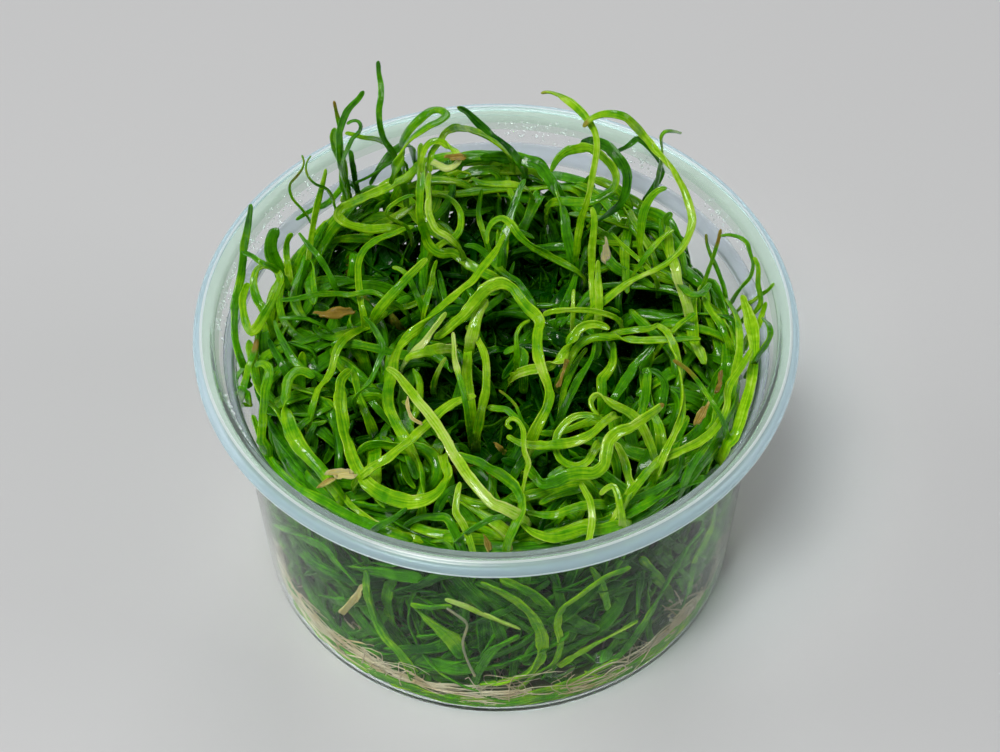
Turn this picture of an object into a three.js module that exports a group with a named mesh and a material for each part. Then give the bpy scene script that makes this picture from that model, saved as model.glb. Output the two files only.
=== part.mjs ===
// A clear plastic culture cup packed with a young lilaeopsis: ribbon leaves over a mat of pale roots.
// Millimetres, +Z up, origin on the table at the middle of the cup's base.

import * as THREE from "three";

// Cup, as moulded
const cupHeight = 46.8;
const baseRadius = 34.1;
const bodyTopRadius = 36.3;
const ledgeHeight = 40.0;
const ledgeRise = 1.6;
const wallThickness = 0.62;
const floorThickness = 0.7;
const bandLowRadius = 36.85;
const rimInnerRadius = 38.2;
const rimCrownRadius = 39.6;
const rimOuterRadius = 41.0;
const skirtDepth = 2.4;
const skirtHollow = 0.8;
const rimRootDrop = 1.5;
const rimUndersideDrop = 0.9;
const bandTopThickness = 0.37;
const edgeRound = 0.2;
const baseCorner = 2.4;
const cupSegments = 72;

// What fills the cup
const tangleToWall = 2.6;
const tangleFoot = 6.2;
const tangleCrown = 41.4;
const shoulderStart = 23;
const shoulderEnd = 33.5;
const tangleShoulderDrop = 1.4;
const tangleFrontDrop = 0.6;
const tangleSegments = 80;
const tangleRings = 15;
const furrowHeight = 0.5;
const furrowSpacing = 5.6;
const rootMatTop = 4.6;
const rootMatToWall = 2.2;
const rootMatFootHeight = 1.2;
const rootMatWaves = 0.5;
const rootMatSegments = 40;
const rootMatRings = 6;
const settlingGap = 0.3;

// Leaves
const leafThickness = 0.5;
const leafStep = 2.0;
const leafSpacing = 0.5;
const tipLength = 3.5;
const tipWidthShare = 0.4;
const widestAtBend = 0.75;
const slantedWidthShare = 0.85;
const humpReach = 6;

// The photograph's camera, by which the leaves were traced: 100 mm lens on a 36 mm wide sensor
const frameColumns = 1000;
const frameRows = 752;
const lensPixels = 2777.8;
const cameraTarget = new THREE.Vector3(0.464, 0, 34.387);
const cameraDistance = 384.87;
const cameraElevation = THREE.MathUtils.degToRad(51.526);
const cameraRoll = THREE.MathUtils.degToRad(-0.751);

function material(name, color, roughness) {
  return new THREE.MeshStandardMaterial({ name, color, roughness, metalness: 0 });
}
const clearPlastic = () => material("clear_plastic", 0xb9c8cc, 0.25);
const paleRoot = () => material("pale_root", 0xcfc59a, 0.7);
const deepLeaf = () => material("deep_leaf", 0x1f6a10, 0.5);
const brightLeaf = () => material("bright_leaf", 0x79b414, 0.35);
const dryLeaf = () => material("dry_leaf", 0xc9a86a, 0.8);

const plant = new THREE.Group();

function addPiece(name, geometry, finish) {
  const piece = new THREE.Mesh(geometry, finish);
  piece.name = name;
  plant.add(piece);
}

// Cup: one thin wall turned round the axis, with a stacking ledge below the rim and a skirt outside it

function outerBodyRadius(height) {
  const share = (height - baseCorner) / (ledgeHeight - baseCorner);
  return baseRadius + share * (bodyTopRadius - baseRadius);
}

function innerRadius(height) {
  const bandFoot = ledgeHeight + ledgeRise;
  if (height >= bandFoot) {
    const share = (height - bandFoot) / (cupHeight - bandFoot);
    return bandLowRadius + share * (rimInnerRadius - bandLowRadius);
  }
  const bodyInner = outerBodyRadius(Math.min(height, ledgeHeight)) - wallThickness;
  if (height <= ledgeHeight) return bodyInner;
  return bodyInner + ((height - ledgeHeight) / ledgeRise) * (bandLowRadius - bodyInner);
}

function arcPoints(centreRadius, centreHeight, radius, fromDegrees, toDegrees, steps) {
  const points = [];
  for (let i = 0; i <= steps; i += 1) {
    const angle = THREE.MathUtils.degToRad(fromDegrees + ((toDegrees - fromDegrees) * i) / steps);
    const out = new THREE.Vector2(Math.cos(angle), Math.sin(angle)).multiplyScalar(radius);
    points.push(out.add(new THREE.Vector2(centreRadius, centreHeight)));
  }
  return points;
}

function cupProfile() {
  const bandFoot = ledgeHeight + ledgeRise;
  const skirtLip = cupHeight - skirtDepth;
  const innerCorner = baseCorner - wallThickness;
  const crownRound = rimOuterRadius - rimCrownRadius;
  const floorCorner = baseRadius - baseCorner - edgeRound / 2;
  return [
    new THREE.Vector2(0, 0),
    ...arcPoints(baseRadius - baseCorner, baseCorner, baseCorner, -90, 0, 4),
    new THREE.Vector2(bodyTopRadius, ledgeHeight),
    new THREE.Vector2(bandLowRadius + wallThickness, bandFoot),
    new THREE.Vector2(rimInnerRadius + bandTopThickness, cupHeight - rimRootDrop),
    new THREE.Vector2(rimOuterRadius - rimRootDrop, cupHeight - rimUndersideDrop),
    new THREE.Vector2(rimOuterRadius - wallThickness, skirtLip + skirtHollow),
    new THREE.Vector2(rimOuterRadius - wallThickness, skirtLip),
    new THREE.Vector2(rimOuterRadius, skirtLip),
    ...arcPoints(rimCrownRadius, cupHeight - crownRound, crownRound, 0, 90, 4),
    new THREE.Vector2(rimInnerRadius + edgeRound, cupHeight),
    new THREE.Vector2(rimInnerRadius, cupHeight - edgeRound),
    new THREE.Vector2(bandLowRadius, bandFoot),
    new THREE.Vector2(outerBodyRadius(ledgeHeight) - wallThickness, ledgeHeight - edgeRound),
    ...arcPoints(floorCorner, innerCorner + floorThickness, innerCorner, 0, -90, 3),
    new THREE.Vector2(0, floorThickness),
  ];
}

addPiece("cup", new THREE.LatheGeometry(cupProfile(), cupSegments), clearPlastic());

// Lumps and hollows of the leaf mass: centre, radius and rise of each

const tangleForms = [
  { x: 1, y: -13, radius: 5.5, rise: -8 },
  { x: 5, y: 15, radius: 6, rise: -8 },
  { x: -19, y: 15, radius: 6.5, rise: -7 },
  { x: -7, y: 12, radius: 4.5, rise: -5.5 },
  { x: -20, y: 23, radius: 6, rise: 2.5 },
  { x: -7, y: 24, radius: 5, rise: 2 },
  { x: 3, y: 29, radius: 6, rise: 2.5 },
  { x: 14, y: 22, radius: 6, rise: 2.5 },
  { x: -24, y: -8, radius: 7, rise: 1 },
  { x: 13, y: -14, radius: 7, rise: 1.2 },
  { x: -10, y: -20, radius: 7, rise: 0.8 },
  { x: 24, y: 2, radius: 7, rise: 0.8 },
  { x: 0, y: 2, radius: 6, rise: 1.2 },
  { x: -26, y: -21, radius: 7, rise: -2.6 },
];

function tangleTop(x, y) {
  const reach = Math.hypot(x, y);
  const shoulder = THREE.MathUtils.smoothstep(reach, shoulderStart, shoulderEnd);
  const frontShare = reach > 0 ? Math.max(0, -y / reach) : 0;
  let height = tangleCrown - (tangleShoulderDrop + tangleFrontDrop * frontShare) * shoulder;
  for (const form of tangleForms) {
    const away = Math.hypot(x - form.x, y - form.y) / form.radius;
    height += form.rise * Math.exp(-away * away);
  }
  const sway = 3 * Math.sin(y / 9);
  const furrows = Math.sin(((x + sway) * 2 * Math.PI) / furrowSpacing) * Math.cos(y / 4);
  return height + furrowHeight * furrows;
}

// Leaf mass: a mound whose top follows those forms, with its side just inside the wall

function moundProfile(foot, top, toWall, rings) {
  const points = [new THREE.Vector2(0, foot), new THREE.Vector2(innerRadius(foot) - toWall, foot)];
  const topRadius = innerRadius(top) - toWall;
  for (let i = 0; i < rings; i += 1) {
    points.push(new THREE.Vector2(topRadius * (1 - i / rings), top));
  }
  points.push(new THREE.Vector2(0, top));
  return points;
}

function shapeTop(geometry, topHeight, surface) {
  const place = geometry.attributes.position;
  const topVertices = topHeight - 0.01;
  for (let i = 0; i < place.count; i += 1) {
    if (place.getY(i) > topVertices) place.setY(i, surface(place.getX(i), -place.getZ(i)));
  }
  return geometry;
}

const shoulderHeight = tangleCrown - tangleShoulderDrop;
const tangleProfile = moundProfile(tangleFoot, shoulderHeight, tangleToWall, tangleRings);
const mound = new THREE.LatheGeometry(tangleProfile, tangleSegments);
addPiece("leaf_tangle", shapeTop(mound, shoulderHeight, tangleTop), deepLeaf());

// Root mat: a thin pale cake on the floor, under the leaves

function rootTop(x, y) {
  return rootMatTop + rootMatWaves * Math.sin(x / 2.6) * Math.cos(y / 3.1);
}

const matFoot = floorThickness + settlingGap;
const matProfile = [
  new THREE.Vector2(0, matFoot),
  new THREE.Vector2(baseRadius - baseCorner - rootMatToWall, matFoot),
  ...moundProfile(matFoot + rootMatFootHeight, rootMatTop, rootMatToWall, rootMatRings).slice(1),
];
const mat = new THREE.LatheGeometry(matProfile, rootMatSegments);
addPiece("root_mat", shapeTop(mat, rootMatTop, rootTop), paleRoot());

// A lathe turns about Y, so the turned pieces are stood up on Z
for (const piece of plant.children) piece.rotation.x = Math.PI / 2;

// Sight lines: the point at a given depth behind a column and row of the photograph

const towardCamera = new THREE.Vector3(0, -Math.cos(cameraElevation), Math.sin(cameraElevation));
const cameraPlace = cameraTarget.clone().addScaledVector(towardCamera, cameraDistance);
const lookAlong = towardCamera.clone().negate();
const levelRight = new THREE.Vector3(1, 0, 0);
const levelUp = new THREE.Vector3().crossVectors(levelRight, lookAlong);
const frameRight = levelRight.clone().applyAxisAngle(towardCamera, cameraRoll);
const frameUp = levelUp.clone().applyAxisAngle(towardCamera, cameraRoll);

function sightLine(column, row) {
  return lookAlong
    .clone()
    .addScaledVector(frameRight, (column - frameColumns / 2) / lensPixels)
    .addScaledVector(frameUp, -(row - frameRows / 2) / lensPixels);
}

function pointAtDepth(column, row, depth) {
  return cameraPlace.clone().addScaledVector(sightLine(column, row), depth);
}

function depthAtHeight(column, row, height) {
  return (height - cameraPlace.z) / sightLine(column, row).z;
}

function photoPlace(point) {
  const away = point.clone().sub(cameraPlace);
  const depth = away.dot(lookAlong);
  return {
    column: frameColumns / 2 + (lensPixels * away.dot(frameRight)) / depth,
    row: frameRows / 2 - (lensPixels * away.dot(frameUp)) / depth,
    depth,
  };
}

// Nearest surface laid so far at each pixel of the photograph, as a depth along the view

const nearest = new Float32Array(frameColumns * frameRows).fill(Infinity);
const millimetreInPixels = lensPixels / cameraDistance;

function overPixels(column, row, radius, visit) {
  for (let r = Math.floor(row - radius); r <= row + radius; r += 1) {
    for (let c = Math.floor(column - radius); c <= column + radius; c += 1) {
      visit(r * frameColumns + c);
    }
  }
}

function stamp(column, row, radius, depth) {
  overPixels(column, row, radius, (pixel) => {
    nearest[pixel] = Math.min(nearest[pixel], depth);
  });
}

function nearestWithin(column, row, radius) {
  let depth = Infinity;
  overPixels(column, row, radius, (pixel) => {
    depth = Math.min(depth, nearest[pixel]);
  });
  return depth;
}

const stampSpacing = 0.12;
const stampRadius = 0.6;
const tangleReach = innerRadius(shoulderHeight) - tangleToWall;
for (let x = -tangleReach; x <= tangleReach; x += stampSpacing) {
  for (let y = -tangleReach; y <= tangleReach; y += stampSpacing) {
    if (Math.hypot(x, y) > tangleReach) continue;
    const place = photoPlace(new THREE.Vector3(x, y, tangleTop(x, y)));
    stamp(place.column, place.row, stampRadius, place.depth);
  }
}

// Free leaves, from the lowest to the highest. A trace holds columns and rows of the photograph along the
// leaf's middle line, and the heights run evenly along it. Each leaf is laid over those before it.

const freeLeaves = [
  {
    name: "front_wall_sweep", width: 1.3, heights: [38, 37.5, 37.5, 37.5, 38],
    trace: [[252, 415], [257, 429], [263, 444], [269, 458], [277, 469], [287, 479], [298, 488],
      [311, 494], [326, 502], [341, 511], [357, 519], [374, 527], [392, 533]],
  },
  {
    name: "front_sweep", width: 1.5, heights: [43, 42, 41.5, 41.5],
    trace: [[518, 518], [524, 526], [532, 532], [543, 536], [556, 537], [569, 534], [583, 530],
      [598, 530], [612, 527]],
  },
  {
    name: "left_upright", width: 1.15, heights: [57, 53, 49, 46, 44, 42, 41],
    trace: [[251, 204], [250, 214], [247, 231], [244, 246], [243, 258], [241, 276], [238, 291],
      [235, 304], [234, 320], [235, 338], [238, 352]],
  },
  {
    name: "left_loop", width: 1.25, heights: [44, 44, 45, 47, 49, 50, 49, 47, 46],
    trace: [[248, 283], [243, 296], [243, 309], [246, 323], [251, 332], [257, 327], [264, 314],
      [272, 300], [277, 287], [280, 278], [276, 271], [270, 267], [264, 266], [258, 269],
      [255, 277], [254, 286], [256, 296], [260, 305]],
  },
  {
    name: "pale_upright", width: 0.9, heights: [58, 53, 48, 44],
    trace: [[326, 169], [323, 183], [319, 198], [316, 211], [313, 225], [311, 239], [309, 253]],
  },
  {
    name: "main_stem", width: 1.25, heights: [62, 58, 54, 50, 45],
    trace: [[335, 128], [333, 138], [335, 148], [340, 157], [343, 168], [344, 184], [347, 201]],
  },
  {
    name: "olive_tip", width: 0.75, heights: [67, 64, 61, 59],
    trace: [[334, 101], [336, 110], [338, 119], [340, 128], [340, 138], [341, 147]],
  },
  {
    name: "dark_tip", width: 0.95, heights: [68, 65, 62, 59],
    trace: [[364, 91], [358, 99], [351, 106], [346, 113], [342, 122], [339, 134], [339, 146]],
  },
  {
    name: "falling_leaf", width: 0.85, heights: [58, 57, 55],
    trace: [[345, 133], [354, 135], [364, 138], [376, 139], [384, 142]],
  },
  {
    name: "tall_tip", width: 0.9, heights: [72, 67, 62, 58, 54, 49, 44],
    trace: [[378, 61], [379, 73], [381, 86], [381, 98], [379, 109], [379, 120], [381, 132], [386, 143],
      [393, 153], [397, 165], [400, 177], [405, 189], [406, 200]],
  },
  {
    name: "pale_broad", width: 1.4, heights: [52, 49, 47, 45, 44, 43],
    trace: [[416, 166], [408, 176], [397, 183], [382, 190], [366, 197], [352, 203], [343, 208],
      [338, 215], [344, 222], [357, 227], [371, 229], [388, 228]],
  },
  {
    name: "left_bend", width: 1.05, heights: [45, 45, 44, 43],
    trace: [[414, 227], [405, 229], [396, 233], [385, 237], [374, 242], [366, 248], [361, 256],
      [358, 266], [358, 279], [359, 292], [361, 304]],
  },
  {
    name: "left_rail", width: 0.85, heights: [43, 44.5, 45, 44],
    trace: [[281, 300], [295, 299], [309, 296], [322, 294], [337, 294], [349, 295], [360, 293],
      [373, 292], [385, 297]],
  },
  {
    name: "centre_strap", width: 1.35, heights: [53, 50, 48, 46, 44, 43],
    trace: [[421, 143], [421, 159], [421, 176], [420, 193], [419, 209], [421, 222], [425, 235],
      [431, 247], [441, 253], [453, 253], [464, 261], [476, 269], [487, 274]],
  },
  {
    name: "centre_ring", width: 1.0, heights: [47, 47.5, 47, 46, 45],
    trace: [[437, 194], [445, 196], [453, 201], [459, 209], [461, 219], [460, 229], [455, 237],
      [447, 241]],
  },
  {
    name: "strap_twin", width: 1.0, heights: [50, 49, 48, 47.5],
    trace: [[430, 172], [428, 184], [429, 197], [428, 209], [431, 220], [436, 229], [445, 235]],
  },
  {
    name: "back_broad", width: 1.3, heights: [55, 53, 51, 49],
    trace: [[457, 107], [466, 111], [474, 119], [482, 127], [491, 135], [501, 143], [511, 152]],
  },
  {
    name: "back_arc", width: 1.0, heights: [47, 50, 53, 55, 54, 52],
    trace: [[430, 172], [430, 160], [433, 150], [440, 142], [445, 134], [454, 128], [465, 129],
      [476, 132], [487, 137], [498, 144]],
  },
  {
    name: "ring_curl", width: 0.95, heights: [52, 55, 56, 57, 58, 57],
    trace: [[421, 173], [422, 160], [425, 148], [431, 142], [439, 141], [448, 146], [456, 152],
      [459, 160], [453, 167], [445, 168], [438, 164]],
  },
  {
    name: "folded_loop", width: 1.4, heights: [45, 52, 57, 60, 62, 63, 64],
    trace: [[391, 184], [395, 170], [401, 156], [406, 145], [417, 134], [429, 126], [440, 121],
      [446, 115], [441, 110], [432, 110], [425, 114]],
  },
  {
    name: "back_lean", width: 1.35, heights: [50, 48, 46, 44],
    trace: [[525, 179], [520, 189], [516, 200], [511, 213], [507, 228], [503, 241], [502, 254]],
  },
  {
    name: "back_ladder", width: 1.4, heights: [51, 49, 47, 44],
    trace: [[554, 180], [557, 192], [562, 206], [565, 219], [567, 233], [570, 246], [573, 260]],
  },
  {
    name: "dark_arch", width: 1.5, heights: [50, 53, 54, 53, 51, 48, 46],
    trace: [[581, 143], [592, 141], [605, 145], [615, 154], [623, 165], [627, 178], [626, 191],
      [620, 203], [609, 213], [599, 220]],
  },
  {
    name: "light_arch", width: 1.25, heights: [52, 54, 55, 54, 52, 50, 49],
    trace: [[551, 172], [557, 160], [566, 152], [577, 148], [589, 148], [601, 155], [611, 165],
      [616, 176], [613, 189], [603, 196], [590, 201], [577, 202], [566, 201]],
  },
  {
    name: "tall_arc_one", width: 1.0, heights: [63, 65, 65, 63, 60, 56, 51, 46],
    trace: [[541, 93], [549, 92], [558, 95], [567, 100], [576, 107], [584, 115], [590, 123],
      [595, 133], [597, 145], [596, 158], [593, 174], [590, 190], [586, 205], [581, 221],
      [578, 238], [576, 252]],
  },
  {
    name: "lime_knot", width: 1.1, heights: [53, 51, 49, 47, 45],
    trace: [[592, 207], [594, 218], [594, 232], [592, 245], [592, 260], [592, 276], [593, 292],
      [594, 304]],
  },
  {
    name: "right_hook", width: 1.25, heights: [55, 54, 52, 50, 47, 44],
    trace: [[667, 188], [659, 190], [651, 197], [645, 208], [642, 220], [641, 232], [640, 243],
      [642, 253], [646, 263]],
  },
  {
    name: "pale_tongue", width: 1.5, heights: [50, 47, 45, 44],
    trace: [[667, 226], [669, 240], [671, 254], [675, 267], [678, 281], [684, 296]],
  },
  {
    name: "tall_arc_two", width: 1.15, heights: [57, 60, 62, 62, 61, 59, 57, 54, 51, 48, 46],
    trace: [[583, 127], [590, 120], [600, 115], [612, 114], [624, 117], [635, 126], [645, 138],
      [655, 149], [665, 160], [674, 171], [681, 183], [686, 195], [690, 208], [692, 221],
      [688, 235], [680, 250], [669, 261], [656, 269], [641, 276], [625, 284], [612, 294],
      [601, 303]],
  },
  {
    name: "sprig_left", width: 0.7, heights: [47, 44, 42],
    trace: [[706, 234], [707, 244], [711, 255], [716, 266], [721, 279]],
  },
  {
    name: "sprig_right", width: 0.65, heights: [48, 45, 42],
    trace: [[721, 229], [717, 244], [713, 257], [708, 271], [704, 283]],
  },
  {
    name: "right_broad", width: 1.55, heights: [44, 44, 43.5, 42.5, 41.5],
    trace: [[742, 295], [746, 307], [750, 321], [753, 335], [754, 350], [753, 366], [751, 382],
      [747, 399], [742, 415], [736, 431]],
  },
  {
    name: "right_long", width: 1.2, heights: [47, 46, 45, 44, 44, 44],
    trace: [[752, 349], [745, 360], [738, 371], [731, 381], [727, 392], [727, 404], [722, 417],
      [713, 430], [700, 441], [686, 448], [673, 454], [660, 460], [650, 469], [642, 478]],
  },
  {
    name: "right_rail", width: 1.15, heights: [45, 46, 46.5, 46, 45, 44],
    trace: [[701, 339], [688, 339], [672, 340], [656, 340], [641, 340], [626, 339], [611, 337],
      [597, 337], [585, 341], [577, 348], [571, 358]],
  },
  {
    name: "right_post", width: 1.2, heights: [46, 47.5, 46.5, 45, 44],
    trace: [[657, 325], [665, 330], [672, 341], [676, 354], [680, 368], [682, 382], [683, 396],
      [682, 409], [679, 422], [673, 436], [667, 449]],
  },
  {
    name: "s_leaf", width: 1.5, heights: [46, 46.5, 46, 45, 44],
    trace: [[610, 329], [602, 325], [590, 324], [580, 328], [573, 337], [568, 347], [561, 358],
      [551, 365], [540, 368], [530, 370]],
  },
  {
    name: "long_sweep", width: 1.45, heights: [50, 48.5, 47, 46, 45, 44.5, 44],
    trace: [[505, 234], [498, 248], [490, 259], [481, 270], [473, 281], [463, 289], [452, 298],
      [440, 309], [429, 318], [419, 327], [408, 337], [399, 348], [394, 360], [392, 374],
      [388, 389], [388, 404], [393, 418], [403, 436]],
  },
  {
    name: "centre_blade", width: 1.25, heights: [48, 47, 46, 44],
    trace: [[427, 258], [417, 268], [408, 277], [399, 287], [390, 297], [382, 306]],
  },
  {
    name: "right_blade", width: 1.2, heights: [46, 48, 49, 48, 46, 44],
    trace: [[487, 244], [488, 232], [493, 222], [502, 218], [511, 224], [519, 235], [529, 244],
      [541, 251], [553, 258], [564, 264], [573, 269]],
  },
  {
    name: "centre_arch", width: 1.5, heights: [44, 46, 48, 50, 50, 49.5, 49, 48, 47, 46],
    trace: [[434, 339], [443, 333], [453, 324], [463, 315], [472, 305], [481, 294], [491, 286],
      [502, 283], [512, 287], [519, 297], [527, 307], [535, 314], [540, 322], [538, 334],
      [537, 346], [539, 360], [543, 373], [547, 383], [549, 394], [546, 407], [540, 420]],
  },
  {
    name: "c_leaf", width: 1.75, heights: [44, 45, 46, 46, 45, 44],
    trace: [[315, 377], [305, 372], [296, 371], [289, 378], [286, 389], [285, 402], [287, 415],
      [291, 430], [299, 445], [308, 456], [317, 466], [326, 477]],
  },
  {
    name: "broad_fold", width: 1.8, heights: [45, 46, 46, 45, 44.5, 45, 46, 46],
    trace: [[351, 370], [342, 378], [340, 391], [340, 407], [343, 423], [347, 440], [352, 456],
      [359, 472], [369, 485], [383, 494], [399, 500], [415, 502], [430, 498], [442, 489],
      [448, 477], [446, 464]],
  },
  {
    name: "low_arc", width: 1.4, heights: [44, 45, 46, 46, 45],
    trace: [[456, 454], [468, 458], [481, 463], [494, 470], [506, 478], [516, 487], [522, 499],
      [521, 512], [516, 523]],
  },
  {
    name: "crossing_blade", width: 1.3, heights: [49, 48, 47, 46.5, 45],
    trace: [[476, 396], [464, 398], [453, 403], [442, 411], [431, 421], [420, 431], [409, 441],
      [396, 452], [384, 461], [372, 468]],
  },
  {
    name: "long_blade", width: 1.4, heights: [52, 51, 50, 49, 48, 47.5, 47],
    trace: [[386, 368], [395, 373], [405, 385], [415, 398], [425, 410], [435, 423], [444, 437],
      [452, 451], [461, 465], [471, 479], [482, 492], [493, 503], [504, 508]],
  },
  {
    name: "left_hook", width: 1.35, heights: [43, 45, 45, 44, 43],
    trace: [[255, 365], [263, 363], [269, 369], [268, 379], [265, 390], [264, 402], [263, 414],
      [262, 427]],
  },
  {
    name: "front_post", width: 1.1, heights: [45, 46, 45, 43.5],
    trace: [[580, 482], [585, 491], [590, 501], [592, 512], [592, 524], [590, 536]],
  },
  {
    name: "circle_curl", width: 1.05, heights: [49, 49.5, 49, 48, 47, 46, 45.5, 45.5],
    trace: [[606, 422], [596, 417], [585, 415], [572, 418], [562, 427], [556, 438], [555, 449],
      [560, 459], [569, 465], [579, 466], [588, 461], [593, 453]],
  },
  {
    name: "through_curl", width: 1.2, heights: [46, 48, 50, 51],
    trace: [[507, 436], [518, 442], [531, 445], [545, 445], [558, 444], [571, 442], [584, 438],
      [594, 431], [602, 424]],
  },
  {
    name: "curled_hook", width: 1.0, heights: [50, 51, 51, 50, 48, 46],
    trace: [[599, 415], [593, 409], [591, 401], [596, 395], [605, 398], [615, 405], [627, 411],
      [638, 420], [645, 432], [650, 444]],
  },
  {
    name: "glossy_tip", width: 1.5, heights: [53, 52.5, 51.5, 50.5, 49, 47.5, 46.5, 46],
    trace: [[664, 404], [655, 411], [643, 419], [630, 427], [617, 433], [609, 441], [606, 453],
      [604, 465], [594, 473], [580, 473], [566, 476], [554, 482], [542, 484], [535, 476]],
  },
  {
    name: "small_curl", width: 0.75, heights: [51, 52, 52, 51, 49, 47],
    trace: [[512, 429], [507, 424], [511, 419], [518, 421], [523, 430], [524, 441], [525, 452],
      [529, 463], [526, 474], [524, 484]],
  },
];

const wallLeaves = [
  {
    name: "wall_sweep", width: 1.5, offWall: 0.9,
    trace: [[367, 570], [369, 590], [375, 612], [386, 634], [402, 654], [415, 674]],
  },
  {
    name: "wall_arc", width: 1.7, offWall: 0.9,
    trace: [[481, 581], [507, 594], [530, 612], [541, 634], [540, 655], [527, 672], [506, 680],
      [486, 682]],
  },
  {
    name: "wall_ribbon", width: 1.1, offWall: 0.9,
    trace: [[702, 527], [685, 548], [667, 580], [651, 608], [632, 638], [612, 659], [596, 674]],
  },
];

function spread(values, share) {
  if (values.length === 1) return values[0];
  const place = share * (values.length - 1);
  const low = Math.min(Math.floor(place), values.length - 2);
  return THREE.MathUtils.lerp(values[low], values[low + 1], place - low);
}

function traceCurve(leaf) {
  const points = leaf.trace.map(([column, row]) => new THREE.Vector3(column, row, 0));
  return new THREE.CatmullRomCurve3(points, false, "centripetal");
}

function insideCup(point, halfWidth) {
  if (point.z > cupHeight + halfWidth + settlingGap) return true;
  return Math.hypot(point.x, point.y) + halfWidth * slantedWidthShare + leafSpacing < innerRadius(point.z);
}

// The nearest depth to the wanted one that keeps a leaf's point inside the wall
function depthInsideCup(column, row, depth, halfWidth) {
  const stride = 0.2;
  const mostStrides = 60;
  let fitted = depth;
  for (let i = 0; i < mostStrides; i += 1) {
    const point = pointAtDepth(column, row, fitted);
    if (insideCup(point, halfWidth)) break;
    fitted += point.y < 0 ? stride : -stride;
  }
  return fitted;
}

// Spreads the lift that single points need into smooth humps along the leaf
function smoothHumps(needed) {
  const reach = Math.ceil(humpReach / leafStep);
  return needed.map((_, i) => {
    let most = 0;
    for (let j = Math.max(0, i - reach); j <= Math.min(needed.length - 1, i + reach); j += 1) {
      const fade = Math.cos(((i - j) / (reach + 1)) * (Math.PI / 2)) ** 2;
      most = Math.max(most, needed[j] * fade);
    }
    return most;
  });
}

// Lays a traced leaf at its heights, moved toward the viewer where it crosses what lies there already
function layLeaf(leaf) {
  const curve = traceCurve(leaf);
  const count = Math.max(3, Math.round(curve.getLength() / millimetreInPixels / leafStep));
  const spots = curve.getSpacedPoints(count);
  const radius = (leaf.width / 2) * millimetreInPixels + 1;
  const clearance = leafThickness / 2 + leafSpacing;
  const wanted = spots.map((spot, i) => {
    const depth = depthAtHeight(spot.x, spot.y, spread(leaf.heights, i / count));
    return depthInsideCup(spot.x, spot.y, depth, leaf.width / 2);
  });
  const needed = spots.map(() => 0);
  const between = 5;
  const samples = [];
  for (let i = 0; i < count; i += 1) {
    for (let j = 0; j <= between; j += 1) {
      const share = j / between;
      const column = THREE.MathUtils.lerp(spots[i].x, spots[i + 1].x, share);
      const row = THREE.MathUtils.lerp(spots[i].y, spots[i + 1].y, share);
      const depth = THREE.MathUtils.lerp(wanted[i], wanted[i + 1], share);
      const lift = depth - (nearestWithin(column, row, radius) - clearance);
      needed[i] = Math.max(needed[i], lift);
      needed[i + 1] = Math.max(needed[i + 1], lift);
      samples.push({ column, row, ring: i, share });
    }
  }
  const lifts = smoothHumps(needed);
  const depths = wanted.map((depth, i) => depth - lifts[i]);
  for (const sample of samples) {
    const depth = THREE.MathUtils.lerp(depths[sample.ring], depths[sample.ring + 1], sample.share);
    stamp(sample.column, sample.row, radius, depth - leafThickness / 2);
  }
  return spots.map((spot, i) => pointAtDepth(spot.x, spot.y, depths[i]));
}

// A leaf's body: a box drawn out along its middle line, thin at its tip, its broad side turned as asked

function bendRadius(before, at, after) {
  const sides = before.distanceTo(at) * at.distanceTo(after) * before.distanceTo(after);
  const area = new THREE.Triangle(before, at, after).getArea();
  return area < 1e-6 ? Infinity : sides / (4 * area);
}

function leafBody(line, width, broadSideToward) {
  const last = line.length - 1;
  const lengths = [0];
  for (let i = 1; i <= last; i += 1) {
    lengths.push(lengths[i - 1] + line[i].distanceTo(line[i - 1]));
  }
  const rings = line.map((centre, i) => {
    const before = line[Math.max(i - 1, 0)];
    const after = line[Math.min(i + 1, last)];
    const along = new THREE.Vector3().subVectors(after, before).normalize();
    const across = new THREE.Vector3().crossVectors(broadSideToward(centre), along).normalize();
    const face = new THREE.Vector3().crossVectors(along, across);
    const taper = THREE.MathUtils.smoothstep(lengths[i], -tipLength * tipWidthShare, tipLength);
    let half = (width / 2) * Math.max(taper, tipWidthShare);
    if (i > 0 && i < last) half = Math.min(half, widestAtBend * bendRadius(before, centre, after));
    return { centre, across, face, half };
  });
  const geometry = new THREE.BoxGeometry(1, 1, 1, 1, 1, last);
  const place = geometry.attributes.position;
  for (let i = 0; i < place.count; i += 1) {
    const ring = rings[Math.round((place.getZ(i) + 0.5) * last)];
    const point = ring.centre
      .clone()
      .addScaledVector(ring.across, place.getX(i) * 2 * ring.half)
      .addScaledVector(ring.face, place.getY(i) * leafThickness);
    place.setXYZ(i, point.x, point.y, point.z);
  }
  return geometry;
}

function faceViewer(point) {
  return new THREE.Vector3().subVectors(cameraPlace, point).normalize();
}

for (const leaf of freeLeaves) {
  addPiece(`leaf_${leaf.name}`, leafBody(layLeaf(leaf), leaf.width, faceViewer), brightLeaf());
}

// Two dead bits that lie on the leaves: a bleached leaf base and a dry stalk

const deadBits = [
  {
    name: "bleached_base", width: 1.4, heights: [44, 44],
    trace: [[331, 473], [342, 472], [354, 473]],
  },
  {
    name: "dry_stalk", width: 1.2, heights: [46, 46],
    trace: [[317, 314], [335, 313], [353, 312]],
  },
];
for (const bit of deadBits) {
  addPiece(bit.name, leafBody(layLeaf(bit), bit.width, faceViewer), dryLeaf());
}

// Leaves pressed against the inside of the front wall, flat to it

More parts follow.
